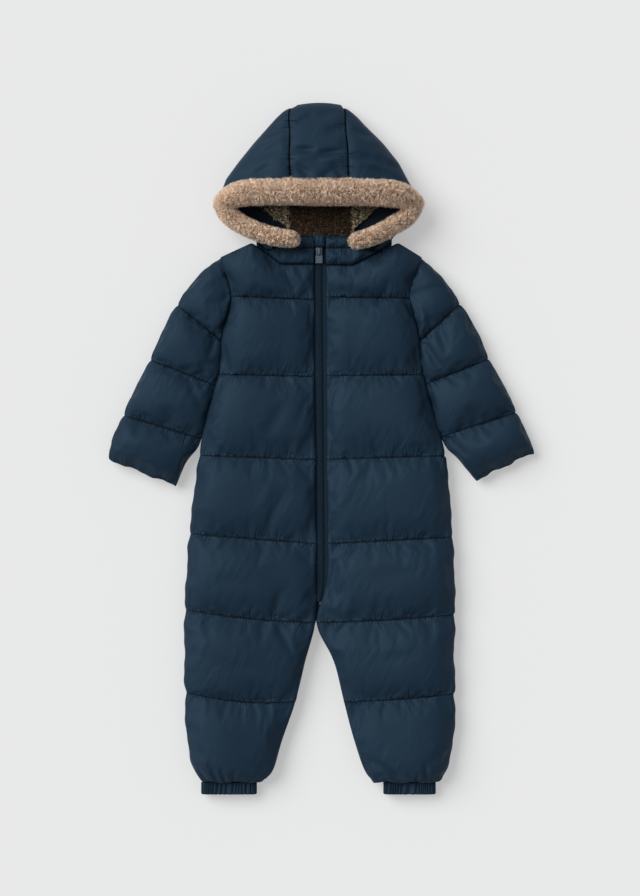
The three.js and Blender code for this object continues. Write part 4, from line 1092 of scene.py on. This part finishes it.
def side_rows(side, ys, inset, opening):
    """A side panel: from the crown seam, or below the brim from the edge of the face opening, round to
    the seam underneath. opening gives that edge's place round the section at each height."""
    rows = []
    for y in ys:
        section = hood_section(y, inset)
        reach = section.right if side < 0 else section.left
        seam = math.acos(min((abs(hood_seam(y, side, inset)) + HOOD_SEAM_GAP / 2) / reach, 0.995))
        start = float(np.interp(y, *opening)) if y < BRIM_Y else min(opening[1][-1], 0.6 * seam)
        start = max(start, 0.04 - seam)
        over = [lerp(seam, start, i / OVER_COLUMNS) for i in range(OVER_COLUMNS)]
        round_side = [lerp(start, -seam, i / ROUND_COLUMNS) for i in range(ROUND_COLUMNS + 1)]
        turns = over + round_side
        rows.append([hood_point(section, side * math.cos(t), t >= 0, inset) for t in turns])
    return rows


def thick_patch(name, outer, inner, keep=None, inside_slot=0):
    """A closed wall between two grids of points of one layout, over the cells that are kept."""
    count = len(outer[0])
    total = len(outer) * count
    quads = []
    for j in range(len(outer) - 1):
        for i in range(count - 1):
            if keep is None or keep(j, i):
                a = j * count + i
                quads.append((a, a + 1, a + count + 1, a + count))
    sides = {edge for q in quads for edge in zip(q, q[1:] + q[:1])}
    walls = [(b, a, a + total, b + total) for a, b in sorted(sides) if (b, a) not in sides]
    inside = [tuple(v + total for v in reversed(q)) for q in quads]
    made = mesh_object(name, [p for row in outer + inner for p in row], quads + inside + walls)
    for polygon in made.data.polygons[len(quads) : 2 * len(quads)]:
        polygon.material_index = inside_slot
    with edited(made) as shape:
        bmesh.ops.delete(shape, geom=[v for v in shape.verts if not v.link_faces], context="VERTS")
    return made


def heights(low, high, step):
    """Even steps from low to high that land on the brim."""
    below = np.linspace(low, BRIM_Y, max(2, round((BRIM_Y - low) / step) + 1))[:-1]
    above = np.linspace(BRIM_Y, high, round((high - BRIM_Y) / step) + 1)
    return [*below.tolist(), *above.tolist()]


def side_top(side):
    """How far up a side panel runs before its two seams meet."""
    ys = np.linspace(400, 411, 45)
    for y in ys:
        section = hood_section(y, 0)
        if abs(hood_seam(y, side)) + 1 > (section.right if side < 0 else section.left):
            return y
    return ys[-1]


HOOD_BOTTOM = HOOD_SECTIONS[0].y
HOOD_TOP = HOOD_SECTIONS[-1].y
SHELL_OPENING = ([238, 298, BRIM_Y], [0.0, 0.0, BRIM_CORNER])
ys = heights(HOOD_BOTTOM, HOOD_TOP, HOOD_STEP)
faces = [crown_rows(ys, inset) for inset in (0, SHELL_INSIDE)]
shell = {"centre": thick_patch("hood_middle_panel", *faces, inside_slot=1)}
for name, side in (("side_right", -1), ("side_left", 1)):
    ys = heights(HOOD_BOTTOM, side_top(side) + 1.4, HOOD_STEP)
    faces = [side_rows(side, ys, inset, SHELL_OPENING) for inset in (0, SHELL_INSIDE)]
    kept = [y >= BRIM_Y for y in ys]
    shell[name] = thick_patch(f"hood_{name}_panel", *faces, lambda j, i: kept[j] or i >= OVER_COLUMNS, 1)
# The shell's inner faces get a near-black copy of the nylon: painted shade where the inside of the hood lies
# in shadow.
facing = nylon_taffeta("nylon_inside_painted_shade", SHADED_INSIDE_NYLON)
for name, piece in shell.items():
    subdivide(piece)
    marks = []
    for x, y, z in (v.co / MM for v in piece.data.vertices):
        marks += [y, *(max(0, 1 - abs(x - hood_seam(y, side)) / NEAR) for side in (-1, 1))]
    store(piece.data, "quilting", marks)
    smooth(piece, 60)
    piece.data.materials.append(taffeta)
    piece.data.materials.append(facing)
    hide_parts(f"hood_{name}")
    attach(piece, "garment")

# The hood's lining: a knitted sherpa pile with small dense curls, taupe at the sides and a darker
# brown down the middle, cut with the same three panels inside the shell.
LINING_FACES = (10.2, 13.4)  # how far its two faces are drawn in
LINING_NECK_Y = 243
LINING_OPENING = ([243, 260, 277, 290, BRIM_Y], [-1.2, -1.12, -0.94, -0.8, 0.05])
PILE_TONES = {"centre": ("#33271b", "#52412f", "#6b5640"), "side": ("#675c48", "#a79a7e", "#dccfae")}


def pile_fibre(name, tones, roughness=0.9):
    """Fibres shaded from root to tip, from the tone and normal stored on the fibres."""
    material, tree, output = new_material(name)
    tone = add_node(tree, "ShaderNodeAttribute", {"attribute_name": "tone"})
    ramp = add_node(tree, "ShaderNodeValToRGB", links={"Fac": tone.outputs["Fac"]})
    ramp.color_ramp.elements.new(0.5)
    for element, colour in zip(ramp.color_ramp.elements, tones):
        element.color = linear(colour)
    facing = add_node(tree, "ShaderNodeAttribute", {"attribute_name": "facing"})
    plain = {"Base Color": linear(tones[1]), "Roughness": roughness, "Specular IOR Level": 0.15}
    sheen = {"Sheen Weight": 0.3, "Sheen Roughness": 0.5}
    links = {"Base Color": ramp.outputs["Color"], "Normal": facing.outputs["Vector"]}
    shader = add_node(tree, "ShaderNodeBsdfPrincipled", {**plain, **sheen}, links)
    inward = add_node(tree, "ShaderNodeVectorMath", {"operation": "SCALE", "Scale": -1.0})
    tree.links.new(facing.outputs["Vector"], inward.inputs[0])
    links = {"Color": ramp.outputs["Color"], "Normal": inward.outputs[0]}
    through_light = add_node(tree, "ShaderNodeBsdfTranslucent", links=links)
    both = add_node(tree, "ShaderNodeAddShader")
    tree.links.new(shader.outputs[0], both.inputs[0])
    tree.links.new(through_light.outputs[0], both.inputs[1])
    tree.links.new(both.outputs[0], output.inputs["Surface"])
    return material


def grain(tree, scale, detail, strength, depth):
    """The normal of a fine uneven grain, as deep as depth in mm."""
    place = add_node(tree, "ShaderNodeTexCoord").outputs["Object"]
    speck = noise_texture(tree, place, scale, detail)
    settings = {"Strength": strength, "Distance": depth * MM}
    return add_node(tree, "ShaderNodeBump", settings, {"Height": speck}).outputs[0]


def backing(name, colour):
    """The matt knitted ground that a pile is tufted on."""
    material, tree, output = new_material(name)
    settings = {"Base Color": linear(colour), "Roughness": 0.95}
    principled(tree, output, settings, {"Normal": grain(tree, 420.0, 3.0, 0.6, 0.6)})
    return material


def surface_samples(piece, density, wanted, random):
    """Random points on a piece's faces with their smooth normals, density to the square mm."""
    mesh = piece.data
    mesh.calc_loop_triangles()
    corners = np.array([t.vertices[:] for t in mesh.loop_triangles])
    points = np.array([v.co[:] for v in mesh.vertices])
    normals = np.array([v.normal[:] for v in mesh.vertices])
    keep = wanted(points[corners].mean(axis=1), normals[corners].mean(axis=1))
    corners = corners[keep]
    a, b, c = (points[corners[:, k]] for k in range(3))
    areas = np.linalg.norm(np.cross(b - a, c - a), axis=1) / 2
    count = int(areas.sum() / MM**2 * density)
    chosen = random.choice(len(areas), size=count, p=areas / areas.sum())
    u, v = random.random((2, count))
    over = u + v > 1
    u[over], v[over] = 1 - u[over], 1 - v[over]
    weights = np.stack([1 - u - v, u, v], axis=1)[:, :, None]
    spots = (points[corners[chosen]] * weights).sum(axis=1)
    facing = (normals[corners[chosen]] * weights).sum(axis=1)
    return spots, facing / np.linalg.norm(facing, axis=1, keepdims=True)


Pile = namedtuple("Pile", "length width clump gather swirl curl uneven")  # clump: fibres in one
FIBRE_SHARES = np.array([0.0, 0.0, 0.5, 0.5, 1.0])  # how far up a fibre its five points lie
FIBRE_TRIANGLES = np.array([[0, 1, 3], [0, 3, 2], [2, 3, 4]])


def tufts(name, spots, normals, pile, material, random):
    """Tapering fibres on a surface, three triangles each, leaning together in clumps."""
    count = len(spots)
    middles = spots[random.choice(count, size=int(count / pile.clump), replace=False)]
    tree = KDTree(len(middles))
    for index, middle in enumerate(middles):
        tree.insert(middle, index)
    tree.balance()
    nearest = np.array([tree.find(spot)[1] for spot in spots])
    odd = random.random((len(middles), 1))[nearest]
    swirl = random.normal(size=(len(middles), 3))[nearest]
    swirl -= (swirl * normals).sum(axis=1, keepdims=True) * normals
    to_clump = middles[nearest] - spots
    loose = random.normal(size=(count, 3))
    loose -= (loose * normals).sum(axis=1, keepdims=True) * normals
    length = pile.length * MM * random.uniform(0.75, 1.15, (count, 1)) * (1 + 0.4 * pile.uneven * (odd - 0.5))
    middle = spots + normals * length * 0.6 + to_clump * pile.gather * 0.3 + loose * pile.curl * MM * 0.5
    tip = spots + normals * length * 0.85 + to_clump * pile.gather + loose * pile.curl * MM
    tip += swirl * length * pile.swirl
    middle += swirl * length * pile.swirl * 0.3
    side = np.cross(normals, random.normal(size=(count, 3)))
    side *= pile.width * MM / 2 / np.linalg.norm(side, axis=1, keepdims=True)
    points = np.stack([spots - side, spots + side, middle - side * 0.8, middle + side * 0.8, tip], axis=1)
    first = 5 * np.arange(count)[:, None, None]
    triangles = first + FIBRE_TRIANGLES
    mesh = bpy.data.meshes.new(name)
    mesh.vertices.add(count * 5)
    mesh.vertices.foreach_set("co", points.ravel())
    mesh.loops.add(count * 9)
    mesh.loops.foreach_set("vertex_index", triangles.ravel())
    mesh.polygons.add(count * 3)
    mesh.polygons.foreach_set("loop_start", np.arange(0, count * 9, 3))
    mesh.update(calc_edges=True)
    shade = lerp(random.random((count, 1)), odd, 0.6 * pile.uneven) - 0.5
    tone = FIBRE_SHARES * 0.85 + 0.35 * shade + 0.08
    store(mesh, "tone", np.clip(tone, 0, 1), "FLOAT", "value")
    facing = normals + 0.45 * random.normal(size=(count, 3))
    facing /= np.linalg.norm(facing, axis=1, keepdims=True)
    store(mesh, "facing", np.repeat(facing, 5, axis=0))
    made = placed(name, mesh)
    mesh.materials.append(material)
    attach(made, "garment")
    return made


def seen_in_hood(spots, normals):
    """The lining's inner face where it shows through the face opening."""
    towards = np.array([0, 0, 25 * MM]) - spots * [1, 0, 1]
    return ((towards * normals).sum(axis=1) > 0) & (spots[:, 1] < 330 * MM) & (spots[:, 2] < 32 * MM)


SHERPA = Pile(length=3.2, width=0.55, clump=12, gather=0.5, swirl=0.3, curl=0.6, uneven=0.7)
SHERPA_DENSITY = 3.1
ground = backing("knitted_pile_ground", "#221a13")
ys = heights(LINING_NECK_Y, 404, HOOD_STEP)
lining = {"centre": thick_patch("lining_middle_panel", *(crown_rows(ys, inset) for inset in LINING_FACES))}
for name, side in (("side_right", -1), ("side_left", 1)):
    ys = heights(LINING_NECK_Y, 392, HOOD_STEP)
    faces = [side_rows(side, ys, inset, LINING_OPENING) for inset in LINING_FACES]
    kept = [y >= BRIM_Y for y in ys]
    lining[name] = thick_patch(f"lining_{name}_panel", *faces, lambda j, i: kept[j] or i >= OVER_COLUMNS)
fibres = {part: pile_fibre(f"sherpa_pile_{part}", tones) for part, tones in PILE_TONES.items()}
for seed, (name, piece) in enumerate(lining.items()):
    subdivide(piece)
    smooth(piece, 60)
    piece.data.materials.append(ground)
    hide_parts(f"lining_{name}")
    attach(piece, "garment")
    random = np.random.default_rng(40 + seed)
    samples = surface_samples(piece, SHERPA_DENSITY, seen_in_hood, random)
    fibre = fibres["centre" if name == "centre" else "side"]
    curls = tufts(f"sherpa_curls_{name}", *samples, SHERPA, fibre, random)

# The fur trim: a roll of short faux fur sewn round the face opening, beige with brown depths, whose
# dense fibres lean together in small tufts. It doubles back on itself at the brim's two corners.
Roll = namedtuple("Roll", "x y z radius")
FUR_ROLLS = [
    [
        Roll(-115, 296, 35, 13),
        Roll(-97, 303.5, 41, 16),
        Roll(-60, 306.5, 47, 17.2),
        Roll(0, 306, 50, 17.6),
        Roll(60, 305.5, 48, 17.2),
        Roll(96, 302, 42, 16),
        Roll(112, 294, 35, 13),
    ],
    [
        Roll(-117, 294, 31, 13),
        Roll(-108, 278, 33, 12.6),
        Roll(-84, 262.5, 38, 12),
        Roll(-56, 253, 44, 11.8),
        Roll(-33, 249, 47, 11),
    ],
    [
        Roll(114, 294, 31, 12.5),
        Roll(106, 278.5, 33, 12.2),
        Roll(86, 265, 38, 12),
        Roll(62, 252.5, 44, 11.8),
        Roll(43, 247, 47, 11),
    ],
]
FUR_DEPTH = 3.8  # of the fibres round the roll
FUR_STEPS = 60
FUR_ROUND = 24
FUR = Pile(length=4.8, width=0.38, clump=10, gather=0.3, swirl=0.24, curl=0.95, uneven=0.6)
FUR_DENSITY = 4.4
FUR_TONES = ("#94745c", "#e0c4aa", "#fff4e4")


def fur_roll(rolls):
    """The ground of one roll, less the depth of its fibres, rounded at both ends."""
    line = knots(rolls, *Roll._fields)
    rings = []
    for k in range(-3, FUR_STEPS + 4):
        share = min(max(k / FUR_STEPS, 0), 1)
        spot = through(line, share)
        ahead, behind = through(line, min(share + 0.01, 1)), through(line, max(share - 0.01, 0))
        along = Vector(ahead[:3] - behind[:3]).normalized()
        beyond = max(-k, k - FUR_STEPS, 0) / 3
        radius = (spot[3] - FUR_DEPTH) * math.sqrt(1 - (beyond * 0.95) ** 2)
        push = math.copysign(beyond * 7, k - FUR_STEPS / 2)
        centre = Vector(spot[:3]) + along * push
        side = Vector((-along.y, along.x, 0)).normalized()
        up = along.cross(side)
        ring = []
        for i in range(FUR_ROUND):
            turn = math.tau * i / FUR_ROUND
            ring.append((centre + (side * math.cos(turn) + up * math.sin(turn)) * radius) * MM)
        rings.append(ring)
    roll_ground = grid_mesh("fur_ground_part", rings, closed=True)
    with edited(roll_ground) as shape:
        bmesh.ops.holes_fill(shape, edges=boundary(shape))
    return roll_ground


parts = [fur_roll(rolls) for rolls in FUR_ROLLS]
select_only(*parts)
bpy.ops.object.join()
fur_ground = bpy.context.object
fur_ground.name = "fur_trim_ground"
apply_modifier(fur_ground, "REMESH", mode="VOXEL", voxel_size=2 * MM)
apply_modifier(fur_ground, "SMOOTH", factor=0.6, iterations=8)
smooth(fur_ground, 180)
fur_ground.data.materials.append(backing("faux_fur_ground", "#b0927a"))
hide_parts("fur_trim")
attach(fur_ground, "garment")
random = np.random.default_rng(7)
spots, normals = surface_samples(fur_ground, FUR_DENSITY, lambda p, n: n[:, 2] > -0.5, random)
fur_fibre = pile_fibre("beige_faux_fur", FUR_TONES, roughness=0.8)
on_arm = spots[:, 1] < (284 + 6 * (np.abs(spots[:, 0]) > 100 * MM)) * MM
for name, chosen in (
    ("brim", ~on_arm),
    ("right_arm", on_arm & (spots[:, 0] < 0)),
    ("left_arm", on_arm & (spots[:, 0] > 0)),
):
    fur = tufts(f"fur_fibres_{name}", spots[chosen], normals[chosen], FUR, fur_fibre, random)

# The zip's woven tape: a fine ribbed polyester ribbon that fills the opening between the fronts.
ZIP_TOP = 253
ZIP_BOTTOM = -184
TAPE_TOP = 21
TAPE_THICKNESS = 1.2
TAPE_COLUMNS = 10
TAPE_RIB = 1.1 * MM  # real ribs are 0.4 mm, drawn coarser
woven_tape, tree, output = new_material("woven_zip_tape")
place = add_node(tree, "ShaderNodeTexCoord").outputs["Object"]
ribs = add_node(
    tree,
    "ShaderNodeTexWave",
    {"bands_direction": "Y", "Scale": 0.5 / TAPE_RIB / math.pi, "Distortion": 0.3},
    {"Vector": place},
)
links = {"Height": ribs.outputs["Fac"]}
bump = add_node(tree, "ShaderNodeBump", {"Strength": 0.5, "Distance": 0.25 * MM}, links)
settings = {"Base Color": linear("#192a38"), "Roughness": 0.95, "Specular IOR Level": 0.12}
principled(tree, output, settings, {"Normal": bump.outputs[0]})
zip_edges = {}
for name, half in HALVES.items():
    inner = knots(half.stations, "inner_x", "inner_y")
    last = len(inner) - 1
    curve = np.array([through(inner, lerp(CROTCH / last, 1, k / 160)) for k in range(161)])
    zip_edges[name] = (curve[:, 1], half.side * curve[:, 0])


def zip_edge(name, y):
    return float(np.interp(y, *zip_edges[name]))


faces = []
for z in (TAPE_TOP, TAPE_TOP - TAPE_THICKNESS):
    rows = []
    for y in np.linspace(ZIP_BOTTOM, ZIP_TOP, 110):
        low, high = zip_edge("right", y) + SEAM_GAP, zip_edge("left", y) - SEAM_GAP
        across = np.linspace(low, high, TAPE_COLUMNS + 1)
        rows.append([(x * MM, y * MM, z * MM) for x in across])
    faces.append(rows)
tape = thick_patch("zip_tape_ribbon", *faces)
smooth(tape, 40)
tape.data.materials.append(woven_tape)
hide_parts("zip_tape")
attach(tape, "garment")

# The zip's chain: two rows of moulded nylon teeth that mesh along its middle.
TOOTH_PITCH = 1.9
TOOTH_SIZE = (2.9, 1.05, 2.2)
TOOTH_RISE = 0.9  # of its middle over the tape
TOOTH_SHIFT = 0.95  # of its middle from the chain's


def block(name, low, high, bevel, segments=3):
    """A block between two corners in mm with rounded edges."""
    select_only()
    centre = [(a + b) / 2 * MM for a, b in zip(low, high)]
    bpy.ops.mesh.primitive_cube_add(size=1, location=centre)
    made = bpy.context.object
    made.name = name
    made.scale = [(b - a) * MM for a, b in zip(low, high)]
    bpy.ops.object.transform_apply(location=True, rotation=True, scale=True)
    bpy.ops.object.mode_set(mode="EDIT")
    bpy.ops.mesh.select_all(action="SELECT")
    bpy.ops.mesh.bevel(offset=bevel * MM, segments=segments, affect="EDGES")
    bpy.ops.object.mode_set(mode="OBJECT")
    return made


tooth = block("tooth", [-s / 2 for s in TOOTH_SIZE], [s / 2 for s in TOOTH_SIZE], 0.3, segments=1)
shape = np.array([v.co[:] for v in tooth.data.vertices])
sides = [list(p.vertices) for p in tooth.data.polygons]
bpy.data.objects.remove(tooth)
points, faces = [], []
count = int((232 - ZIP_BOTTOM) / TOOTH_PITCH) * 2
for k in range(count):
    y = ZIP_BOTTOM + 1 + k * TOOTH_PITCH / 2
    side = 1 if k % 2 else -1
    x = (zip_edge("right", y) + zip_edge("left", y)) / 2 + side * TOOTH_SHIFT
    faces += [[v + len(points) for v in face] for face in sides]
    points += (shape + np.array([x, y, TAPE_TOP + TOOTH_RISE]) * MM).tolist()
teeth = mesh_object("zip_teeth", points, faces)
smooth(teeth, 50)


def moulded_plastic(name, colour, roughness, gleam):
    """Moulded nylon or acetal: a smooth dyed body with a faint mould grain."""
    material, tree, output = new_material(name)
    settings = {"Base Color": linear(colour), "Roughness": roughness, "Specular IOR Level": gleam}
    principled(tree, output, settings, {"Normal": grain(tree, 900.0, 2.0, 0.15, 0.1)})
    return material


teeth.data.materials.append(moulded_plastic("dyed_nylon_teeth", "#192833", 0.85, 0.15))
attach(teeth, "garment")

# The slider and its pull: enamelled grey-blue. The slider's plate narrows to the closed chain and
# carries a bridge, and the pull is a rod through the bridge, two arms and a tab with a sunk panel.
SLIDER_X = -1.2
PULL_PIVOT = (SLIDER_X, 236.9, 27)
PULL_TILT = math.radians(5)
enamel = moulded_plastic("grey_blue_enamel", "#4a5a66", 0.42, 0.5)


def join(name, parts, material):
    select_only(*parts)
    bpy.ops.object.join()
    made = bpy.context.object
    made.name = name
    made.data.materials.clear()
    made.data.materials.append(material)
    smooth(made, 40)
    return made


plate = block("plate", (SLIDER_X - 4.2, 231, 23.8), (SLIDER_X + 4.2, 240.6, 25.6), 0.7)
for vertex in plate.data.vertices:
    narrowing = 1 - 0.28 * smoothstep(vertex.co.y / MM, 237, 231)
    vertex.co.x = SLIDER_X * MM + (vertex.co.x - SLIDER_X * MM) * narrowing
bridge = [
    block("low_post", (SLIDER_X - 1.2, 232, 25.2), (SLIDER_X + 1.2, 233.4, 29.6), 0.35),
    block("high_post", (SLIDER_X - 1.2, 238, 25.2), (SLIDER_X + 1.2, 239.4, 29.6), 0.35),
    block("bar", (SLIDER_X - 1.2, 232, 28.7), (SLIDER_X + 1.2, 239.4, 30), 0.4),
]
slider = join("zip_slider_body", [plate, *bridge], enamel)
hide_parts("zip_slider")
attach(slider, "garment")

tab = block("tab", (-4.4, -15.6, -0.8), (4.4, -6.2, 0.8), 0.7)
select_only(tab)
bpy.ops.object.mode_set(mode="EDIT")
bpy.ops.mesh.select_all(action="DESELECT")
bpy.ops.object.mode_set(mode="OBJECT")
for face in tab.data.polygons:
    face.select = face.normal.z > 0.99
bpy.ops.object.mode_set(mode="EDIT")
bpy.ops.mesh.inset(thickness=0.9 * MM)
bpy.ops.mesh.inset(thickness=0.25 * MM, depth=-0.3 * MM)
bpy.ops.object.mode_set(mode="OBJECT")
arms = [
    block("right_arm", (-3.6, -7, -0.5), (-1.7, 0.4, 0.5), 0.3),
    block("left_arm", (1.7, -7, -0.5), (3.6, 0.4, 0.5), 0.3),
]
select_only()
lying = (0, math.pi / 2, 0)
bpy.ops.mesh.primitive_cylinder_add(radius=0.8 * MM, depth=7.2 * MM, vertices=24, rotation=lying)
rod = bpy.context.object
bpy.ops.object.transform_apply(location=True, rotation=True, scale=True)
pull = join("zip_pull_tab", [rod, tab, *arms], enamel)
turned = Matrix.Translation(Vector(PULL_PIVOT) * MM) @ Matrix.Rotation(PULL_TILT, 4, "X")
pull.data.transform(turned)
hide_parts("zip_pull")
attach(pull, "zip_pull")

# The zip garage: a small fold of the nylon over the top of the zip, between the collar's two halves.
GARAGE = {"right": -7, "left": 6.8, "bottom_y": 241, "top_y": 256, "bottom": 23.9, "top": 33.5}
GARAGE_STEPS = 16
GARAGE_ROUND = 28
rings = []
for k in range(GARAGE_STEPS + 1):
    share = k / GARAGE_STEPS
    fill = 0.45 + 0.55 * math.sin(math.pi * min(max(share, 0.02), 0.98)) ** 0.5
    middle = (GARAGE["right"] + GARAGE["left"]) / 2
    half_width = (GARAGE["left"] - GARAGE["right"]) / 2 * (0.8 + 0.2 * fill)
    ring = []
    for i in range(GARAGE_ROUND):
        turn = math.tau * i / GARAGE_ROUND
        up = max(math.sin(turn), 0) ** 0.8
        x = middle + half_width * math.cos(turn)
        crease = 1.3 * math.exp(-(((x + 2 - 3 * share) / 1.3) ** 2)) * up
        rise = (GARAGE["top"] - GARAGE["bottom"] - 2) * fill * up + 2 - crease
        z = GARAGE["bottom"] + (rise if math.sin(turn) >= 0 else 0)
        ring.append((x * MM, lerp(GARAGE["bottom_y"], GARAGE["top_y"], share) * MM, z * MM))
    rings.append(ring)
garage = grid_mesh("zip_garage_fold", rings, closed=True)
with edited(garage) as shape:
    bmesh.ops.holes_fill(shape, edges=boundary(shape))
subdivide(garage)
smooth(garage, 60)
garage.data.materials.append(taffeta)
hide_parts("zip_garage")
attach(garage, "garment")
